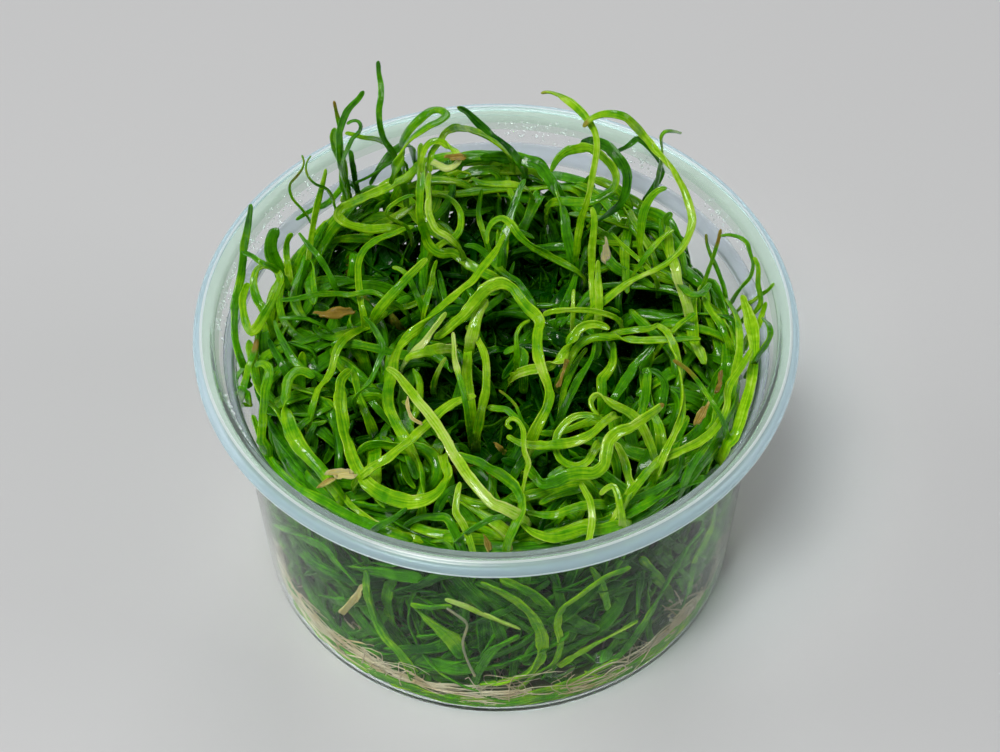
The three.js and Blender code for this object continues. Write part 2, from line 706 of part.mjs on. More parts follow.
// The first point of a sight line that is a given distance inside the wall
function pointOffWall(column, row, offWall) {
  const stride = 0.5;
  const halvings = 12;
  const outside = (depth) => {
    const point = pointAtDepth(column, row, depth);
    return Math.hypot(point.x, point.y) > innerRadius(point.z) - offWall;
  };
  let near = cameraDistance - 2 * rimOuterRadius;
  while (outside(near + stride)) near += stride;
  let far = near + stride;
  for (let i = 0; i < halvings; i += 1) {
    const middle = (near + far) / 2;
    if (outside(middle)) near = middle;
    else far = middle;
  }
  return pointAtDepth(column, row, far);
}

function faceWall(point) {
  return new THREE.Vector3(point.x, point.y, 0).normalize();
}

for (const leaf of wallLeaves) {
  const curve = traceCurve(leaf);
  const count = Math.round(curve.getLength() / millimetreInPixels / leafStep);
  const line = curve.getSpacedPoints(count).map((spot) => pointOffWall(spot.x, spot.y, leaf.offWall));
  addPiece(`leaf_${leaf.name}`, leafBody(line, leaf.width, faceWall), brightLeaf());
}

export default plant;
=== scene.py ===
import bpy
import numpy as np
from mathutils import Matrix


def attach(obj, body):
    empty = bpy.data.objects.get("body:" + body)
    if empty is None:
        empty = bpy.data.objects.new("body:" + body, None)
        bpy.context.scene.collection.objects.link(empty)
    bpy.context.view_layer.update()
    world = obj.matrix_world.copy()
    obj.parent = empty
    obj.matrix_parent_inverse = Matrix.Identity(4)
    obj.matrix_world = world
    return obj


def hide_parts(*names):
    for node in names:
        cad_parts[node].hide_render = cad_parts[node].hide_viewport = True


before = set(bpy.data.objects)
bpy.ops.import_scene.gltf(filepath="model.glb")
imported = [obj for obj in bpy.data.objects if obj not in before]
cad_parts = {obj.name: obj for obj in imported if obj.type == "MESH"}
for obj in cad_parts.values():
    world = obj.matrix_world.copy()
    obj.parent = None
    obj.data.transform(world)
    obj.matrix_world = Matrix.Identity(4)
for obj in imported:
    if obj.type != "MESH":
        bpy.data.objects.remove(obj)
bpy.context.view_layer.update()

# Camera: it stands where the photograph was taken from, with a 100 mm lens on a sensor 36 mm wide.
# Lengths in this file are in millimetres, and become metres where an object is made.
METRES = 0.001
FRAME_COLUMNS = 1000
FRAME_ROWS = 752
LENS = 100.0
SENSOR_WIDTH = 36.0
LENS_PIXELS = 2777.8
NEAREST_SEEN = 10.0
CAMERA_TARGET = np.array([0.464, 0.0, 34.387])
CAMERA_DISTANCE = 384.87
CAMERA_ELEVATION = np.radians(51.526)
CAMERA_ROLL = np.radians(-0.751)


def standing(right, up, back, place):
    """The matrix of a thing at a place in metres, with its axes to the right, up and back."""
    stand = np.eye(4)
    stand[:3] = np.stack([right, up, back, place], 1)
    return Matrix(stand.tolist())


toward_camera = np.array([0.0, -np.cos(CAMERA_ELEVATION), np.sin(CAMERA_ELEVATION)])
camera_place = CAMERA_TARGET + CAMERA_DISTANCE * toward_camera
level_right = np.array([1.0, 0.0, 0.0])
level_up = np.cross(level_right, -toward_camera)
frame_right = np.cos(CAMERA_ROLL) * level_right + np.sin(CAMERA_ROLL) * level_up
frame_up = np.cos(CAMERA_ROLL) * level_up - np.sin(CAMERA_ROLL) * level_right

lens = bpy.data.cameras.new("camera")
lens.lens = LENS
lens.sensor_width = SENSOR_WIDTH
lens.clip_start = NEAREST_SEEN * METRES
camera = bpy.data.objects.new("camera", lens)
camera.matrix_world = standing(frame_right, frame_up, toward_camera, camera_place * METRES)
bpy.context.collection.objects.link(camera)
bpy.context.scene.camera = camera

# Cup: thin clear plastic, moulded in one piece, with a stacking ledge under the rim and a skirt turned down
# outside it. The wall is clear with a faint haze, and the thicker rim looks milky.
CUP_HEIGHT = 46.8
BASE_RADIUS = 34.1
BODY_TOP_RADIUS = 36.3
LEDGE_HEIGHT = 40.0
LEDGE_RISE = 1.6
WALL = 0.62
FLOOR = 0.7
BAND_LOW_RADIUS = 36.85
RIM_INNER_RADIUS = 38.2
RIM_OUTER_RADIUS = 41.0
RIM_CROWN = 1.25
SKIRT_DEPTH = 2.0
BASE_CORNER = 2.4
EDGE_ROUND = 0.28
CUP_SEGMENTS = 192


def arc(radius, height, size, start, end, steps):
    """Points of an arc about (radius, height): the centre plus size times the cosine and sine of the
    angle."""
    angle = np.radians(np.linspace(start, end, steps + 1))
    return np.stack([radius + size * np.cos(angle), height + size * np.sin(angle)], 1)


def inner_radius(height):
    """Radius of the cup's inside: a straight cone up to the ledge, a short slope, then the wider band."""
    heights = [BASE_CORNER, LEDGE_HEIGHT, LEDGE_HEIGHT + LEDGE_RISE, CUP_HEIGHT]
    radii = [BASE_RADIUS - WALL, BODY_TOP_RADIUS - WALL, BAND_LOW_RADIUS, RIM_INNER_RADIUS]
    return np.interp(height, heights, radii)


def cup_profile():
    """The wall's outline as (radius, height): from the base's middle, up the outside and down the inside."""
    band_foot = LEDGE_HEIGHT + LEDGE_RISE
    skirt_lip = CUP_HEIGHT - SKIRT_DEPTH
    inner_corner = BASE_CORNER - WALL
    return np.vstack([
        # The outside: base, corner, wall, ledge, band, the hollow of the rim, and its skirt
        [[0.0, 0.0], [BASE_RADIUS - 7.0, 0.0]],
        arc(BASE_RADIUS - BASE_CORNER, BASE_CORNER, BASE_CORNER, -90, 0, 10),
        np.linspace([BASE_RADIUS + 0.35, 8.0], [BODY_TOP_RADIUS - 0.02, LEDGE_HEIGHT - 0.35], 6),
        [[BODY_TOP_RADIUS + 0.02, LEDGE_HEIGHT + 0.1], [BODY_TOP_RADIUS + 0.22, LEDGE_HEIGHT + 0.45]],
        [[BAND_LOW_RADIUS + 0.50, band_foot - 0.15], [BAND_LOW_RADIUS + 0.63, band_foot + 0.25]],
        [[BAND_LOW_RADIUS + 0.9, CUP_HEIGHT - 3.6], [RIM_INNER_RADIUS + 0.34, CUP_HEIGHT - 2.0]],
        arc(RIM_INNER_RADIUS + 0.84, CUP_HEIGHT - 1.6, 0.5, 175, 95, 4),
        arc(RIM_OUTER_RADIUS - WALL - 0.5, CUP_HEIGHT - 1.6, 0.5, 85, 5, 4),
        [[RIM_OUTER_RADIUS - WALL, skirt_lip + 0.25]],
        arc(RIM_OUTER_RADIUS - WALL + 0.2, skirt_lip + 0.2, 0.2, 180, 270, 3),
        arc(RIM_OUTER_RADIUS - 0.2, skirt_lip + 0.2, 0.2, 270, 360, 3),
        [[RIM_OUTER_RADIUS, skirt_lip + 0.45]],
        arc(RIM_OUTER_RADIUS - RIM_CROWN, CUP_HEIGHT - RIM_CROWN, RIM_CROWN, 0, 78, 10),
        # The top of the rim with its low bead, then the inside: band, ledge, wall, corner and floor
        [[RIM_OUTER_RADIUS - 1.05, CUP_HEIGHT + 0.02], [RIM_OUTER_RADIUS - 1.2, CUP_HEIGHT + 0.06]],
        [[RIM_OUTER_RADIUS - 1.35, CUP_HEIGHT + 0.02], [RIM_OUTER_RADIUS - 1.5, CUP_HEIGHT - 0.08]],
        [[RIM_OUTER_RADIUS - 1.9, CUP_HEIGHT - 0.06], [RIM_OUTER_RADIUS - 2.3, CUP_HEIGHT - 0.02]],
        arc(RIM_INNER_RADIUS + EDGE_ROUND, CUP_HEIGHT - EDGE_ROUND, EDGE_ROUND, 90, 180, 4),
        np.linspace([RIM_INNER_RADIUS - 0.18, CUP_HEIGHT - 0.9], [BAND_LOW_RADIUS + 0.1, band_foot + 0.3], 6),
        [[BAND_LOW_RADIUS - 0.02, band_foot - 0.08], [BAND_LOW_RADIUS - 0.25, band_foot - 0.5]],
        [[BODY_TOP_RADIUS - WALL + 0.12, LEDGE_HEIGHT + 0.15], [BODY_TOP_RADIUS - WALL, LEDGE_HEIGHT - 0.2]],
        np.linspace([BODY_TOP_RADIUS - WALL - 0.12, LEDGE_HEIGHT - 2.0], [BASE_RADIUS - WALL + 0.3, 8.0], 6),
        arc(BASE_RADIUS - WALL - inner_corner, inner_corner + FLOOR, inner_corner, 0, -90, 8),
        [[BASE_RADIUS - 9.0, FLOOR], [0.0, FLOOR]],
    ])


def turned(profile, segments):
    """A profile turned round Z: x is radius times cosine, y radius times sine. Its two ends are poles."""
    angle = np.linspace(0, 2 * np.pi, segments, endpoint=False)
    ring = profile[1:-1]
    x = ring[:, 0, None] * np.cos(angle)
    y = ring[:, 0, None] * np.sin(angle)
    z = np.repeat(ring[:, 1, None], segments, 1)
    poles = [[0, 0, profile[0, 1]], [0, 0, profile[-1, 1]]]
    vertices = np.vstack([np.stack([x, y, z], 2).reshape(-1, 3), poles])
    spot = np.arange(len(ring) * segments).reshape(len(ring), segments)
    after = np.roll(spot, -1, 1)
    quads = np.stack([spot[:-1], after[:-1], after[1:], spot[1:]], 2).reshape(-1, 4)
    first = np.full(segments, len(vertices) - 2)
    last = np.full(segments, len(vertices) - 1)
    lower = np.stack([first, after[0], spot[0]], 1)
    upper = np.stack([last, spot[-1], after[-1]], 1)
    return vertices, quads.tolist() + lower.tolist() + upper.tolist()


def add_piece(name, vertices, faces, finishes, replaced, values=None):
    """A smooth mesh object at the origin, which rides on the one body, with named values at its points."""
    mesh = bpy.data.meshes.new(name)
    faces = faces.tolist() if isinstance(faces, np.ndarray) else faces
    mesh.from_pydata((vertices * METRES).tolist(), [], faces)
    mesh.shade_smooth()
    for key, numbers in (values or {}).items():
        layer = mesh.attributes.new(key, "FLOAT", "POINT")
        layer.data.foreach_set("value", np.asarray(numbers, np.float32).ravel())
    for finish in finishes:
        mesh.materials.append(finish)
    piece = bpy.data.objects.new(name, mesh)
    bpy.context.collection.objects.link(piece)
    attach(piece, "root")
    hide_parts(*replaced)
    return piece


def new_finish(name):
    """An empty node material, with its Principled shader wired to the output."""
    finish = bpy.data.materials.new(name)
    finish.use_nodes = True
    tree = finish.node_tree
    tree.nodes.clear()
    shader = tree.nodes.new("ShaderNodeBsdfPrincipled")
    output = tree.nodes.new("ShaderNodeOutputMaterial")
    tree.links.new(shader.outputs[0], output.inputs["Surface"])
    return finish, tree, shader


def feed(tree, node, inputs):
    """Gives a node's inputs their numbers, or the sockets that feed them. An input goes by its name, or by i
    and its place in the row."""
    for key, value in inputs.items():
        socket = node.inputs[int(key[1:]) if key[1:].isdigit() else key]
        if isinstance(value, bpy.types.NodeSocket):
            tree.links.new(value, socket)
        else:
            socket.default_value = value


def add_node(tree, kind, settings=None, **inputs):
    """A shader node with its settings and its inputs."""
    node = tree.nodes.new("ShaderNode" + kind)
    for key, value in (settings or {}).items():
        setattr(node, key, value)
    feed(tree, node, inputs)
    return node


def new_group(name, inputs, outputs):
    """An empty shader node group with its two end nodes. Its sockets are given as names and kinds."""
    group = bpy.data.node_groups.new(name, "ShaderNodeTree")
    for way, sockets in (("INPUT", inputs), ("OUTPUT", outputs)):
        for key, kind in sockets.items():
            group.interface.new_socket(key, in_out=way, socket_type=f"NodeSocket{kind}")
    return group, group.nodes.new("NodeGroupInput"), group.nodes.new("NodeGroupOutput")


def haze_group():
    """Faint smears and dust on moulded plastic: a roughness and a height, from object coordinates."""
    group, ins, outs = new_group(
        "plastic haze", {"Base": "Float", "Spread": "Float"}, {"Roughness": "Float", "Height": "Float"})
    place = add_node(group, "TexCoord").outputs["Object"]
    smears = add_node(group, "TexNoise", Vector=place, Scale=60.0, Detail=4.0).outputs[0]
    dust = add_node(group, "TexNoise", Vector=place, Scale=900.0, Detail=2.0).outputs[0]
    smeared = {"operation": "MULTIPLY_ADD"}
    rough = add_node(group, "Math", smeared, i0=smears, i1=ins.outputs["Spread"], i2=ins.outputs["Base"])
    feed(group, outs, {"Roughness": rough.outputs[0], "Height": dust})
    return group


plastic_haze = haze_group()
SHADOW_TINT = (0.86, 0.9, 0.9, 1.0)


def plastic(name, colour, transmission, roughness, spread, bending):
    """Moulded clear plastic of one haze: light passes it, and so its shadow is soft."""
    finish, tree, shader = new_finish(name)
    haze = add_node(tree, "Group", {"node_tree": plastic_haze}, Base=roughness, Spread=spread)
    bump = add_node(tree, "Bump", Strength=0.12, Distance=0.0001, Height=haze.outputs["Height"])
    feed(tree, shader, {
        "Base Color": colour, "IOR": bending, "Transmission Weight": transmission,
        "Roughness": haze.outputs["Roughness"], "Normal": bump.outputs[0],
    })
    path = add_node(tree, "LightPath")
    clear = add_node(tree, "BsdfTransparent", Color=SHADOW_TINT)
    both = add_node(
        tree, "MixShader", i0=path.outputs["Is Shadow Ray"], i1=shader.outputs[0], i2=clear.outputs[0])
    output = next(node for node in tree.nodes if node.type == "OUTPUT_MATERIAL")
    tree.links.new(both.outputs[0], output.inputs["Surface"])
    return finish


finishes = [
    plastic("clear wall", (0.95, 0.97, 0.98, 1.0), 1.0, 0.02, 0.05, 1.12),
    plastic("milky rim", (0.69, 0.85, 0.92, 1.0), 0.62, 0.18, 0.10, 1.45),
    plastic("milky ledge", (0.74, 0.80, 0.88, 1.0), 0.7, 0.12, 0.10, 1.3),
    plastic("hazy lip", (0.76, 0.92, 0.82, 1.0), 0.82, 0.16, 0.10, 1.15),
    # Painted highlight: a whiter, less clear plastic that draws a bright line on the rim's bead and the
    # skirt's lower edge
    plastic("painted highlight edge", (0.90, 0.98, 1.0, 1.0), 0.35, 0.2, 0.10, 1.45),
]
points, faces = turned(cup_profile(), CUP_SEGMENTS)
cup = add_piece("moulded_cup", points, faces, finishes, ["cup"])

# Where the finishes lie: the rim's starts above the band, the lip is the part of it inside the low bead, and
# a painted highlight, a whiter and less clear plastic, lies on that bead and on the skirt's lower edge.
RIM_START = LEDGE_HEIGHT + 4.4
LIP_EDGE = 1.15
HIGHLIGHT_INSET = 1.2
HIGHLIGHT_HALF_WIDTH = 0.22
EDGE_DROP = 0.5
SKIRT_EDGE = 0.4
MARGIN = 0.3
rises = np.array([np.mean(points[face, 2]) for face in faces])
reaches = np.array([np.mean(np.hypot(*points[face, :2].T)) for face in faces])
on_ledge = (rises > LEDGE_HEIGHT - MARGIN) & (rises < LEDGE_HEIGHT + LEDGE_RISE + MARGIN)
on_rim = rises > RIM_START
on_lip = on_rim & (reaches < RIM_OUTER_RADIUS - LIP_EDGE)
on_painted_highlight = np.abs(reaches - RIM_OUTER_RADIUS + HIGHLIGHT_INSET) < HIGHLIGHT_HALF_WIDTH
on_painted_highlight &= rises > CUP_HEIGHT - EDGE_DROP
on_painted_highlight |= (reaches > RIM_OUTER_RADIUS - MARGIN) & (rises < CUP_HEIGHT - SKIRT_DEPTH + SKIRT_EDGE)
finish_numbers = np.select([on_painted_highlight, on_lip, on_ledge, on_rim], [4, 3, 2, 1], 0)
cup.data.polygons.foreach_set("material_index", finish_numbers.astype(np.int32))

# Beads of water: condensation that hangs in patches on the inside of the cup, between the ledge and the rim.
# They are flat drops, a little taller than wide, whose part white finish paints their glints. Each patch has
# a start and end in degrees, and a count.
BEAD_PATCHES = [(72, 90, 70), (130, 180, 190), (22, 38, 50), (196, 212, 40), (48, 60, 30)]
BEAD_SEED = 23
BEAD_FOOT = 0.8
BEAD_SPAN = 3.6
BEAD_SIZES = (0.08, 0.24)
BEAD_SHAPE = np.array([0.75, 1.0, 1.1])
BEAD_SINK = 0.02
BEAD_RINGS = 5
BEAD_SIDES = 8


def lumps(middles, axes, rings, sides):
    """Closed rounded lumps: a middle, plus the first axis times the cosine of a lift, plus the other two
    times its sine and the cosine and sine of a swing."""
    lifts = np.linspace(0, np.pi, rings + 2)[1:-1]
    lift, swing = np.meshgrid(lifts, np.linspace(0, 2 * np.pi, sides, endpoint=False), indexing="ij")
    ball = np.stack([np.cos(lift), np.sin(lift) * np.cos(swing), np.sin(lift) * np.sin(swing)], 2)
    points = middles[:, None, None] + np.einsum("ijk,nkl->nijl", ball, axes)
    spot = np.arange(len(middles) * rings * sides).reshape(-1, rings, sides)
    after = np.roll(spot, -1, 2)
    walls = np.stack([spot[:, :-1], after[:, :-1], after[:, 1:], spot[:, 1:]], -1).reshape(-1, 4).tolist()
    return points.reshape(-1, 3), walls + spot[:, 0, ::-1].tolist() + spot[:, -1].tolist()


def wall_axes(inward):
    """Three directions at each spot of the wall: inward, sideways round the cup, and up."""
    upward = np.broadcast_to([0.0, 0.0, 1.0], inward.shape)
    return np.stack([inward, np.cross(upward, -inward), upward], 1)


random = np.random.default_rng(BEAD_SEED)
turn = np.radians(np.concatenate([random.uniform(start, end, count) for start, end, count in BEAD_PATCHES]))
height = LEDGE_HEIGHT + LEDGE_RISE + BEAD_FOOT + BEAD_SPAN * random.beta(2.0, 2.0, len(turn))
sizes = random.uniform(*BEAD_SIZES, len(turn))
inward = -np.stack([np.cos(turn), np.sin(turn), 0 * turn], 1)
middles = -inward * (inner_radius(height) + BEAD_SINK)[:, None] + np.array([0, 0, 1.0]) * height[:, None]
axes = sizes[:, None, None] * (BEAD_SHAPE[:, None] * wall_axes(inward))
points, faces = lumps(middles, axes, BEAD_RINGS, BEAD_SIDES)
# Painted highlight: the beads are part white and only part clear, so that they show as bright glints
water = plastic("water", (0.98, 1.0, 1.0, 1.0), 0.6, 0.05, 0.0, 1.2)
add_piece("water_beads", points, faces, [water], ["cup"])

# Free leaves: thick, wet ribbons with a shallow groove, rounded ends and fine veins, which curl over each
# other at the top of the cup. Each was traced in the photograph along its middle line: name, width, heights
# that run evenly along it, and columns and rows. They go from the lowest leaf to the highest.
LEAF_THICKNESS = 0.5
BLADE_THICKNESS = 0.4
LEAF_STEP = 2.0
LEAF_SPACING = 0.5
HUMP_REACH = 6.0
SLANTED_WIDTH_SHARE = 0.85
SETTLING_GAP = 0.3
RING_STEP = 0.42
PIXELS_PER_MM = LENS_PIXELS / CAMERA_DISTANCE

FREE_LEAVES = [
    ("front_wall_sweep", 1.3, [38, 37.5, 37.5, 37.5, 38],
     [(252, 415), (257, 429), (263, 444), (269, 458), (277, 469), (287, 479), (298, 488), (311, 494),
      (326, 502), (341, 511), (357, 519), (374, 527), (392, 533)]),
    ("front_sweep", 1.5, [43, 42, 41.5, 41.5],
     [(518, 518), (524, 526), (532, 532), (543, 536), (556, 537), (569, 534), (583, 530), (598, 530),
      (612, 527)]),
    ("left_upright", 1.15, [57, 53, 49, 46, 44, 42, 41],
     [(251, 204), (250, 214), (247, 231), (244, 246), (243, 258), (241, 276), (238, 291), (235, 304),
      (234, 320), (235, 338), (238, 352)]),
    ("left_loop", 1.25, [44, 44, 45, 47, 49, 50, 49, 47, 46],
     [(248, 283), (243, 296), (243, 309), (246, 323), (251, 332), (257, 327), (264, 314), (272, 300),
      (277, 287), (280, 278), (276, 271), (270, 267), (264, 266), (258, 269), (255, 277), (254, 286),
      (256, 296), (260, 305)]),
    ("pale_upright", 0.9, [58, 53, 48, 44],
     [(326, 169), (323, 183), (319, 198), (316, 211), (313, 225), (311, 239), (309, 253)]),
    ("main_stem", 1.25, [62, 58, 54, 50, 45],
     [(335, 128), (333, 138), (335, 148), (340, 157), (343, 168), (344, 184), (347, 201)]),
    ("olive_tip", 0.75, [67, 64, 61, 59],
     [(334, 101), (336, 110), (338, 119), (340, 128), (340, 138), (341, 147)]),
    ("dark_tip", 0.95, [68, 65, 62, 59],
     [(364, 91), (358, 99), (351, 106), (346, 113), (342, 122), (339, 134), (339, 146)]),
    ("falling_leaf", 0.85, [58, 57, 55],
     [(345, 133), (354, 135), (364, 138), (376, 139), (384, 142)]),
    ("tall_tip", 0.9, [72, 67, 62, 58, 54, 49, 44],
     [(378, 61), (379, 73), (381, 86), (381, 98), (379, 109), (379, 120), (381, 132), (386, 143),
      (393, 153), (397, 165), (400, 177), (405, 189), (406, 200)]),
    ("pale_broad", 1.4, [52, 49, 47, 45, 44, 43],
     [(416, 166), (408, 176), (397, 183), (382, 190), (366, 197), (352, 203), (343, 208), (338, 215),
      (344, 222), (357, 227), (371, 229), (388, 228)]),
    ("left_bend", 1.05, [45, 45, 44, 43],
     [(414, 227), (405, 229), (396, 233), (385, 237), (374, 242), (366, 248), (361, 256), (358, 266),
      (358, 279), (359, 292), (361, 304)]),
    ("left_rail", 0.85, [43, 44.5, 45, 44],
     [(281, 300), (295, 299), (309, 296), (322, 294), (337, 294), (349, 295), (360, 293), (373, 292),
      (385, 297)]),
    ("centre_strap", 1.35, [53, 50, 48, 46, 44, 43],
     [(421, 143), (421, 159), (421, 176), (420, 193), (419, 209), (421, 222), (425, 235), (431, 247),
      (441, 253), (453, 253), (464, 261), (476, 269), (487, 274)]),
    ("centre_ring", 1.0, [47, 47.5, 47, 46, 45],
     [(437, 194), (445, 196), (453, 201), (459, 209), (461, 219), (460, 229), (455, 237), (447, 241)]),
    ("strap_twin", 1.0, [50, 49, 48, 47.5],
     [(430, 172), (428, 184), (429, 197), (428, 209), (431, 220), (436, 229), (445, 235)]),
    ("back_broad", 1.3, [55, 53, 51, 49],
     [(457, 107), (466, 111), (474, 119), (482, 127), (491, 135), (501, 143), (511, 152)]),
    ("back_arc", 1.0, [47, 50, 53, 55, 54, 52],
     [(430, 172), (430, 160), (433, 150), (440, 142), (445, 134), (454, 128), (465, 129), (476, 132),
      (487, 137), (498, 144)]),
    ("ring_curl", 0.95, [52, 55, 56, 57, 58, 57],
     [(421, 173), (422, 160), (425, 148), (431, 142), (439, 141), (448, 146), (456, 152), (459, 160),
      (453, 167), (445, 168), (438, 164)]),
    ("folded_loop", 1.4, [45, 52, 57, 60, 62, 63, 64],
     [(391, 184), (395, 170), (401, 156), (406, 145), (417, 134), (429, 126), (440, 121), (446, 115),
      (441, 110), (432, 110), (425, 114)]),
    ("back_lean", 1.35, [50, 48, 46, 44],
     [(525, 179), (520, 189), (516, 200), (511, 213), (507, 228), (503, 241), (502, 254)]),
    ("back_ladder", 1.4, [51, 49, 47, 44],
     [(554, 180), (557, 192), (562, 206), (565, 219), (567, 233), (570, 246), (573, 260)]),
    ("dark_arch", 1.5, [50, 53, 54, 53, 51, 48, 46],
     [(581, 143), (592, 141), (605, 145), (615, 154), (623, 165), (627, 178), (626, 191), (620, 203),
      (609, 213), (599, 220)]),
    ("light_arch", 1.25, [52, 54, 55, 54, 52, 50, 49],
     [(551, 172), (557, 160), (566, 152), (577, 148), (589, 148), (601, 155), (611, 165), (616, 176),
      (613, 189), (603, 196), (590, 201), (577, 202), (566, 201)]),
    ("tall_arc_one", 1.0, [63, 65, 65, 63, 60, 56, 51, 46],
     [(541, 93), (549, 92), (558, 95), (567, 100), (576, 107), (584, 115), (590, 123), (595, 133),
      (597, 145), (596, 158), (593, 174), (590, 190), (586, 205), (581, 221), (578, 238), (576, 252)]),
    ("lime_knot", 1.1, [53, 51, 49, 47, 45],
     [(592, 207), (594, 218), (594, 232), (592, 245), (592, 260), (592, 276), (593, 292), (594, 304)]),
    ("right_hook", 1.25, [55, 54, 52, 50, 47, 44],
     [(667, 188), (659, 190), (651, 197), (645, 208), (642, 220), (641, 232), (640, 243), (642, 253),
      (646, 263)]),
    ("pale_tongue", 1.5, [50, 47, 45, 44],
     [(667, 226), (669, 240), (671, 254), (675, 267), (678, 281), (684, 296)]),
    ("tall_arc_two", 1.15, [57, 60, 62, 62, 61, 59, 57, 54, 51, 48, 46],
     [(583, 127), (590, 120), (600, 115), (612, 114), (624, 117), (635, 126), (645, 138), (655, 149),
      (665, 160), (674, 171), (681, 183), (686, 195), (690, 208), (692, 221), (688, 235), (680, 250),
      (669, 261), (656, 269), (641, 276), (625, 284), (612, 294), (601, 303)]),
    ("sprig_left", 0.7, [47, 44, 42],
     [(706, 234), (707, 244), (711, 255), (716, 266), (721, 279)]),
    ("sprig_right", 0.65, [48, 45, 42],
     [(721, 229), (717, 244), (713, 257), (708, 271), (704, 283)]),
    ("right_broad", 1.55, [44, 44, 43.5, 42.5, 41.5],
     [(742, 295), (746, 307), (750, 321), (753, 335), (754, 350), (753, 366), (751, 382), (747, 399),
      (742, 415), (736, 431)]),
    ("right_long", 1.2, [47, 46, 45, 44, 44, 44],
     [(752, 349), (745, 360), (738, 371), (731, 381), (727, 392), (727, 404), (722, 417), (713, 430),
      (700, 441), (686, 448), (673, 454), (660, 460), (650, 469), (642, 478)]),
    ("right_rail", 1.15, [45, 46, 46.5, 46, 45, 44],
     [(701, 339), (688, 339), (672, 340), (656, 340), (641, 340), (626, 339), (611, 337), (597, 337),
      (585, 341), (577, 348), (571, 358)]),
    ("right_post", 1.2, [46, 47.5, 46.5, 45, 44],
     [(657, 325), (665, 330), (672, 341), (676, 354), (680, 368), (682, 382), (683, 396), (682, 409),
      (679, 422), (673, 436), (667, 449)]),
    ("s_leaf", 1.5, [46, 46.5, 46, 45, 44],
     [(610, 329), (602, 325), (590, 324), (580, 328), (573, 337), (568, 347), (561, 358), (551, 365),
      (540, 368), (530, 370)]),
    ("long_sweep", 1.45, [50, 48.5, 47, 46, 45, 44.5, 44],
     [(505, 234), (498, 248), (490, 259), (481, 270), (473, 281), (463, 289), (452, 298), (440, 309),
      (429, 318), (419, 327), (408, 337), (399, 348), (394, 360), (392, 374), (388, 389), (388, 404),
      (393, 418), (403, 436)]),
    ("centre_blade", 1.25, [48, 47, 46, 44],
     [(427, 258), (417, 268), (408, 277), (399, 287), (390, 297), (382, 306)]),
    ("right_blade", 1.2, [46, 48, 49, 48, 46, 44],
     [(487, 244), (488, 232), (493, 222), (502, 218), (511, 224), (519, 235), (529, 244), (541, 251),
      (553, 258), (564, 264), (573, 269)]),
    ("centre_arch", 1.5, [44, 46, 48, 50, 50, 49.5, 49, 48, 47, 46],
     [(434, 339), (443, 333), (453, 324), (463, 315), (472, 305), (481, 294), (491, 286), (502, 283),
      (512, 287), (519, 297), (527, 307), (535, 314), (540, 322), (538, 334), (537, 346), (539, 360),
      (543, 373), (547, 383), (549, 394), (546, 407), (540, 420)]),
    ("c_leaf", 1.75, [44, 45, 46, 46, 45, 44],
     [(315, 377), (305, 372), (296, 371), (289, 378), (286, 389), (285, 402), (287, 415), (291, 430),
      (299, 445), (308, 456), (317, 466), (326, 477)]),
    ("broad_fold", 1.8, [45, 46, 46, 45, 44.5, 45, 46, 46],
     [(351, 370), (342, 378), (340, 391), (340, 407), (343, 423), (347, 440), (352, 456), (359, 472),
      (369, 485), (383, 494), (399, 500), (415, 502), (430, 498), (442, 489), (448, 477), (446, 464)]),
    ("low_arc", 1.4, [44, 45, 46, 46, 45],
     [(456, 454), (468, 458), (481, 463), (494, 470), (506, 478), (516, 487), (522, 499), (521, 512),
      (516, 523)]),
    ("crossing_blade", 1.3, [49, 48, 47, 46.5, 45],
     [(476, 396), (464, 398), (453, 403), (442, 411), (431, 421), (420, 431), (409, 441), (396, 452),
      (384, 461), (372, 468)]),
    ("long_blade", 1.4, [52, 51, 50, 49, 48, 47.5, 47],
     [(386, 368), (395, 373), (405, 385), (415, 398), (425, 410), (435, 423), (444, 437), (452, 451),
      (461, 465), (471, 479), (482, 492), (493, 503), (504, 508)]),
    ("left_hook", 1.35, [43, 45, 45, 44, 43],
     [(255, 365), (263, 363), (269, 369), (268, 379), (265, 390), (264, 402), (263, 414), (262, 427)]),
    ("front_post", 1.1, [45, 46, 45, 43.5],
     [(580, 482), (585, 491), (590, 501), (592, 512), (592, 524), (590, 536)]),
    ("circle_curl", 1.05, [49, 49.5, 49, 48, 47, 46, 45.5, 45.5],
     [(606, 422), (596, 417), (585, 415), (572, 418), (562, 427), (556, 438), (555, 449), (560, 459),
      (569, 465), (579, 466), (588, 461), (593, 453)]),
    ("through_curl", 1.2, [46, 48, 50, 51],
     [(507, 436), (518, 442), (531, 445), (545, 445), (558, 444), (571, 442), (584, 438), (594, 431),
      (602, 424)]),
    ("curled_hook", 1.0, [50, 51, 51, 50, 48, 46],
     [(599, 415), (593, 409), (591, 401), (596, 395), (605, 398), (615, 405), (627, 411), (638, 420),
      (645, 432), (650, 444)]),
    ("glossy_tip", 1.5, [53, 52.5, 51.5, 50.5, 49, 47.5, 46.5, 46],
     [(664, 404), (655, 411), (643, 419), (630, 427), (617, 433), (609, 441), (606, 453), (604, 465),
      (594, 473), (580, 473), (566, 476), (554, 482), (542, 484), (535, 476)]),
    ("small_curl", 0.75, [51, 52, 52, 51, 49, 47],
     [(512, 429), (507, 424), (511, 419), (518, 421), (523, 430), (524, 441), (525, 452), (529, 463),
      (526, 474), (524, 484)]),
]

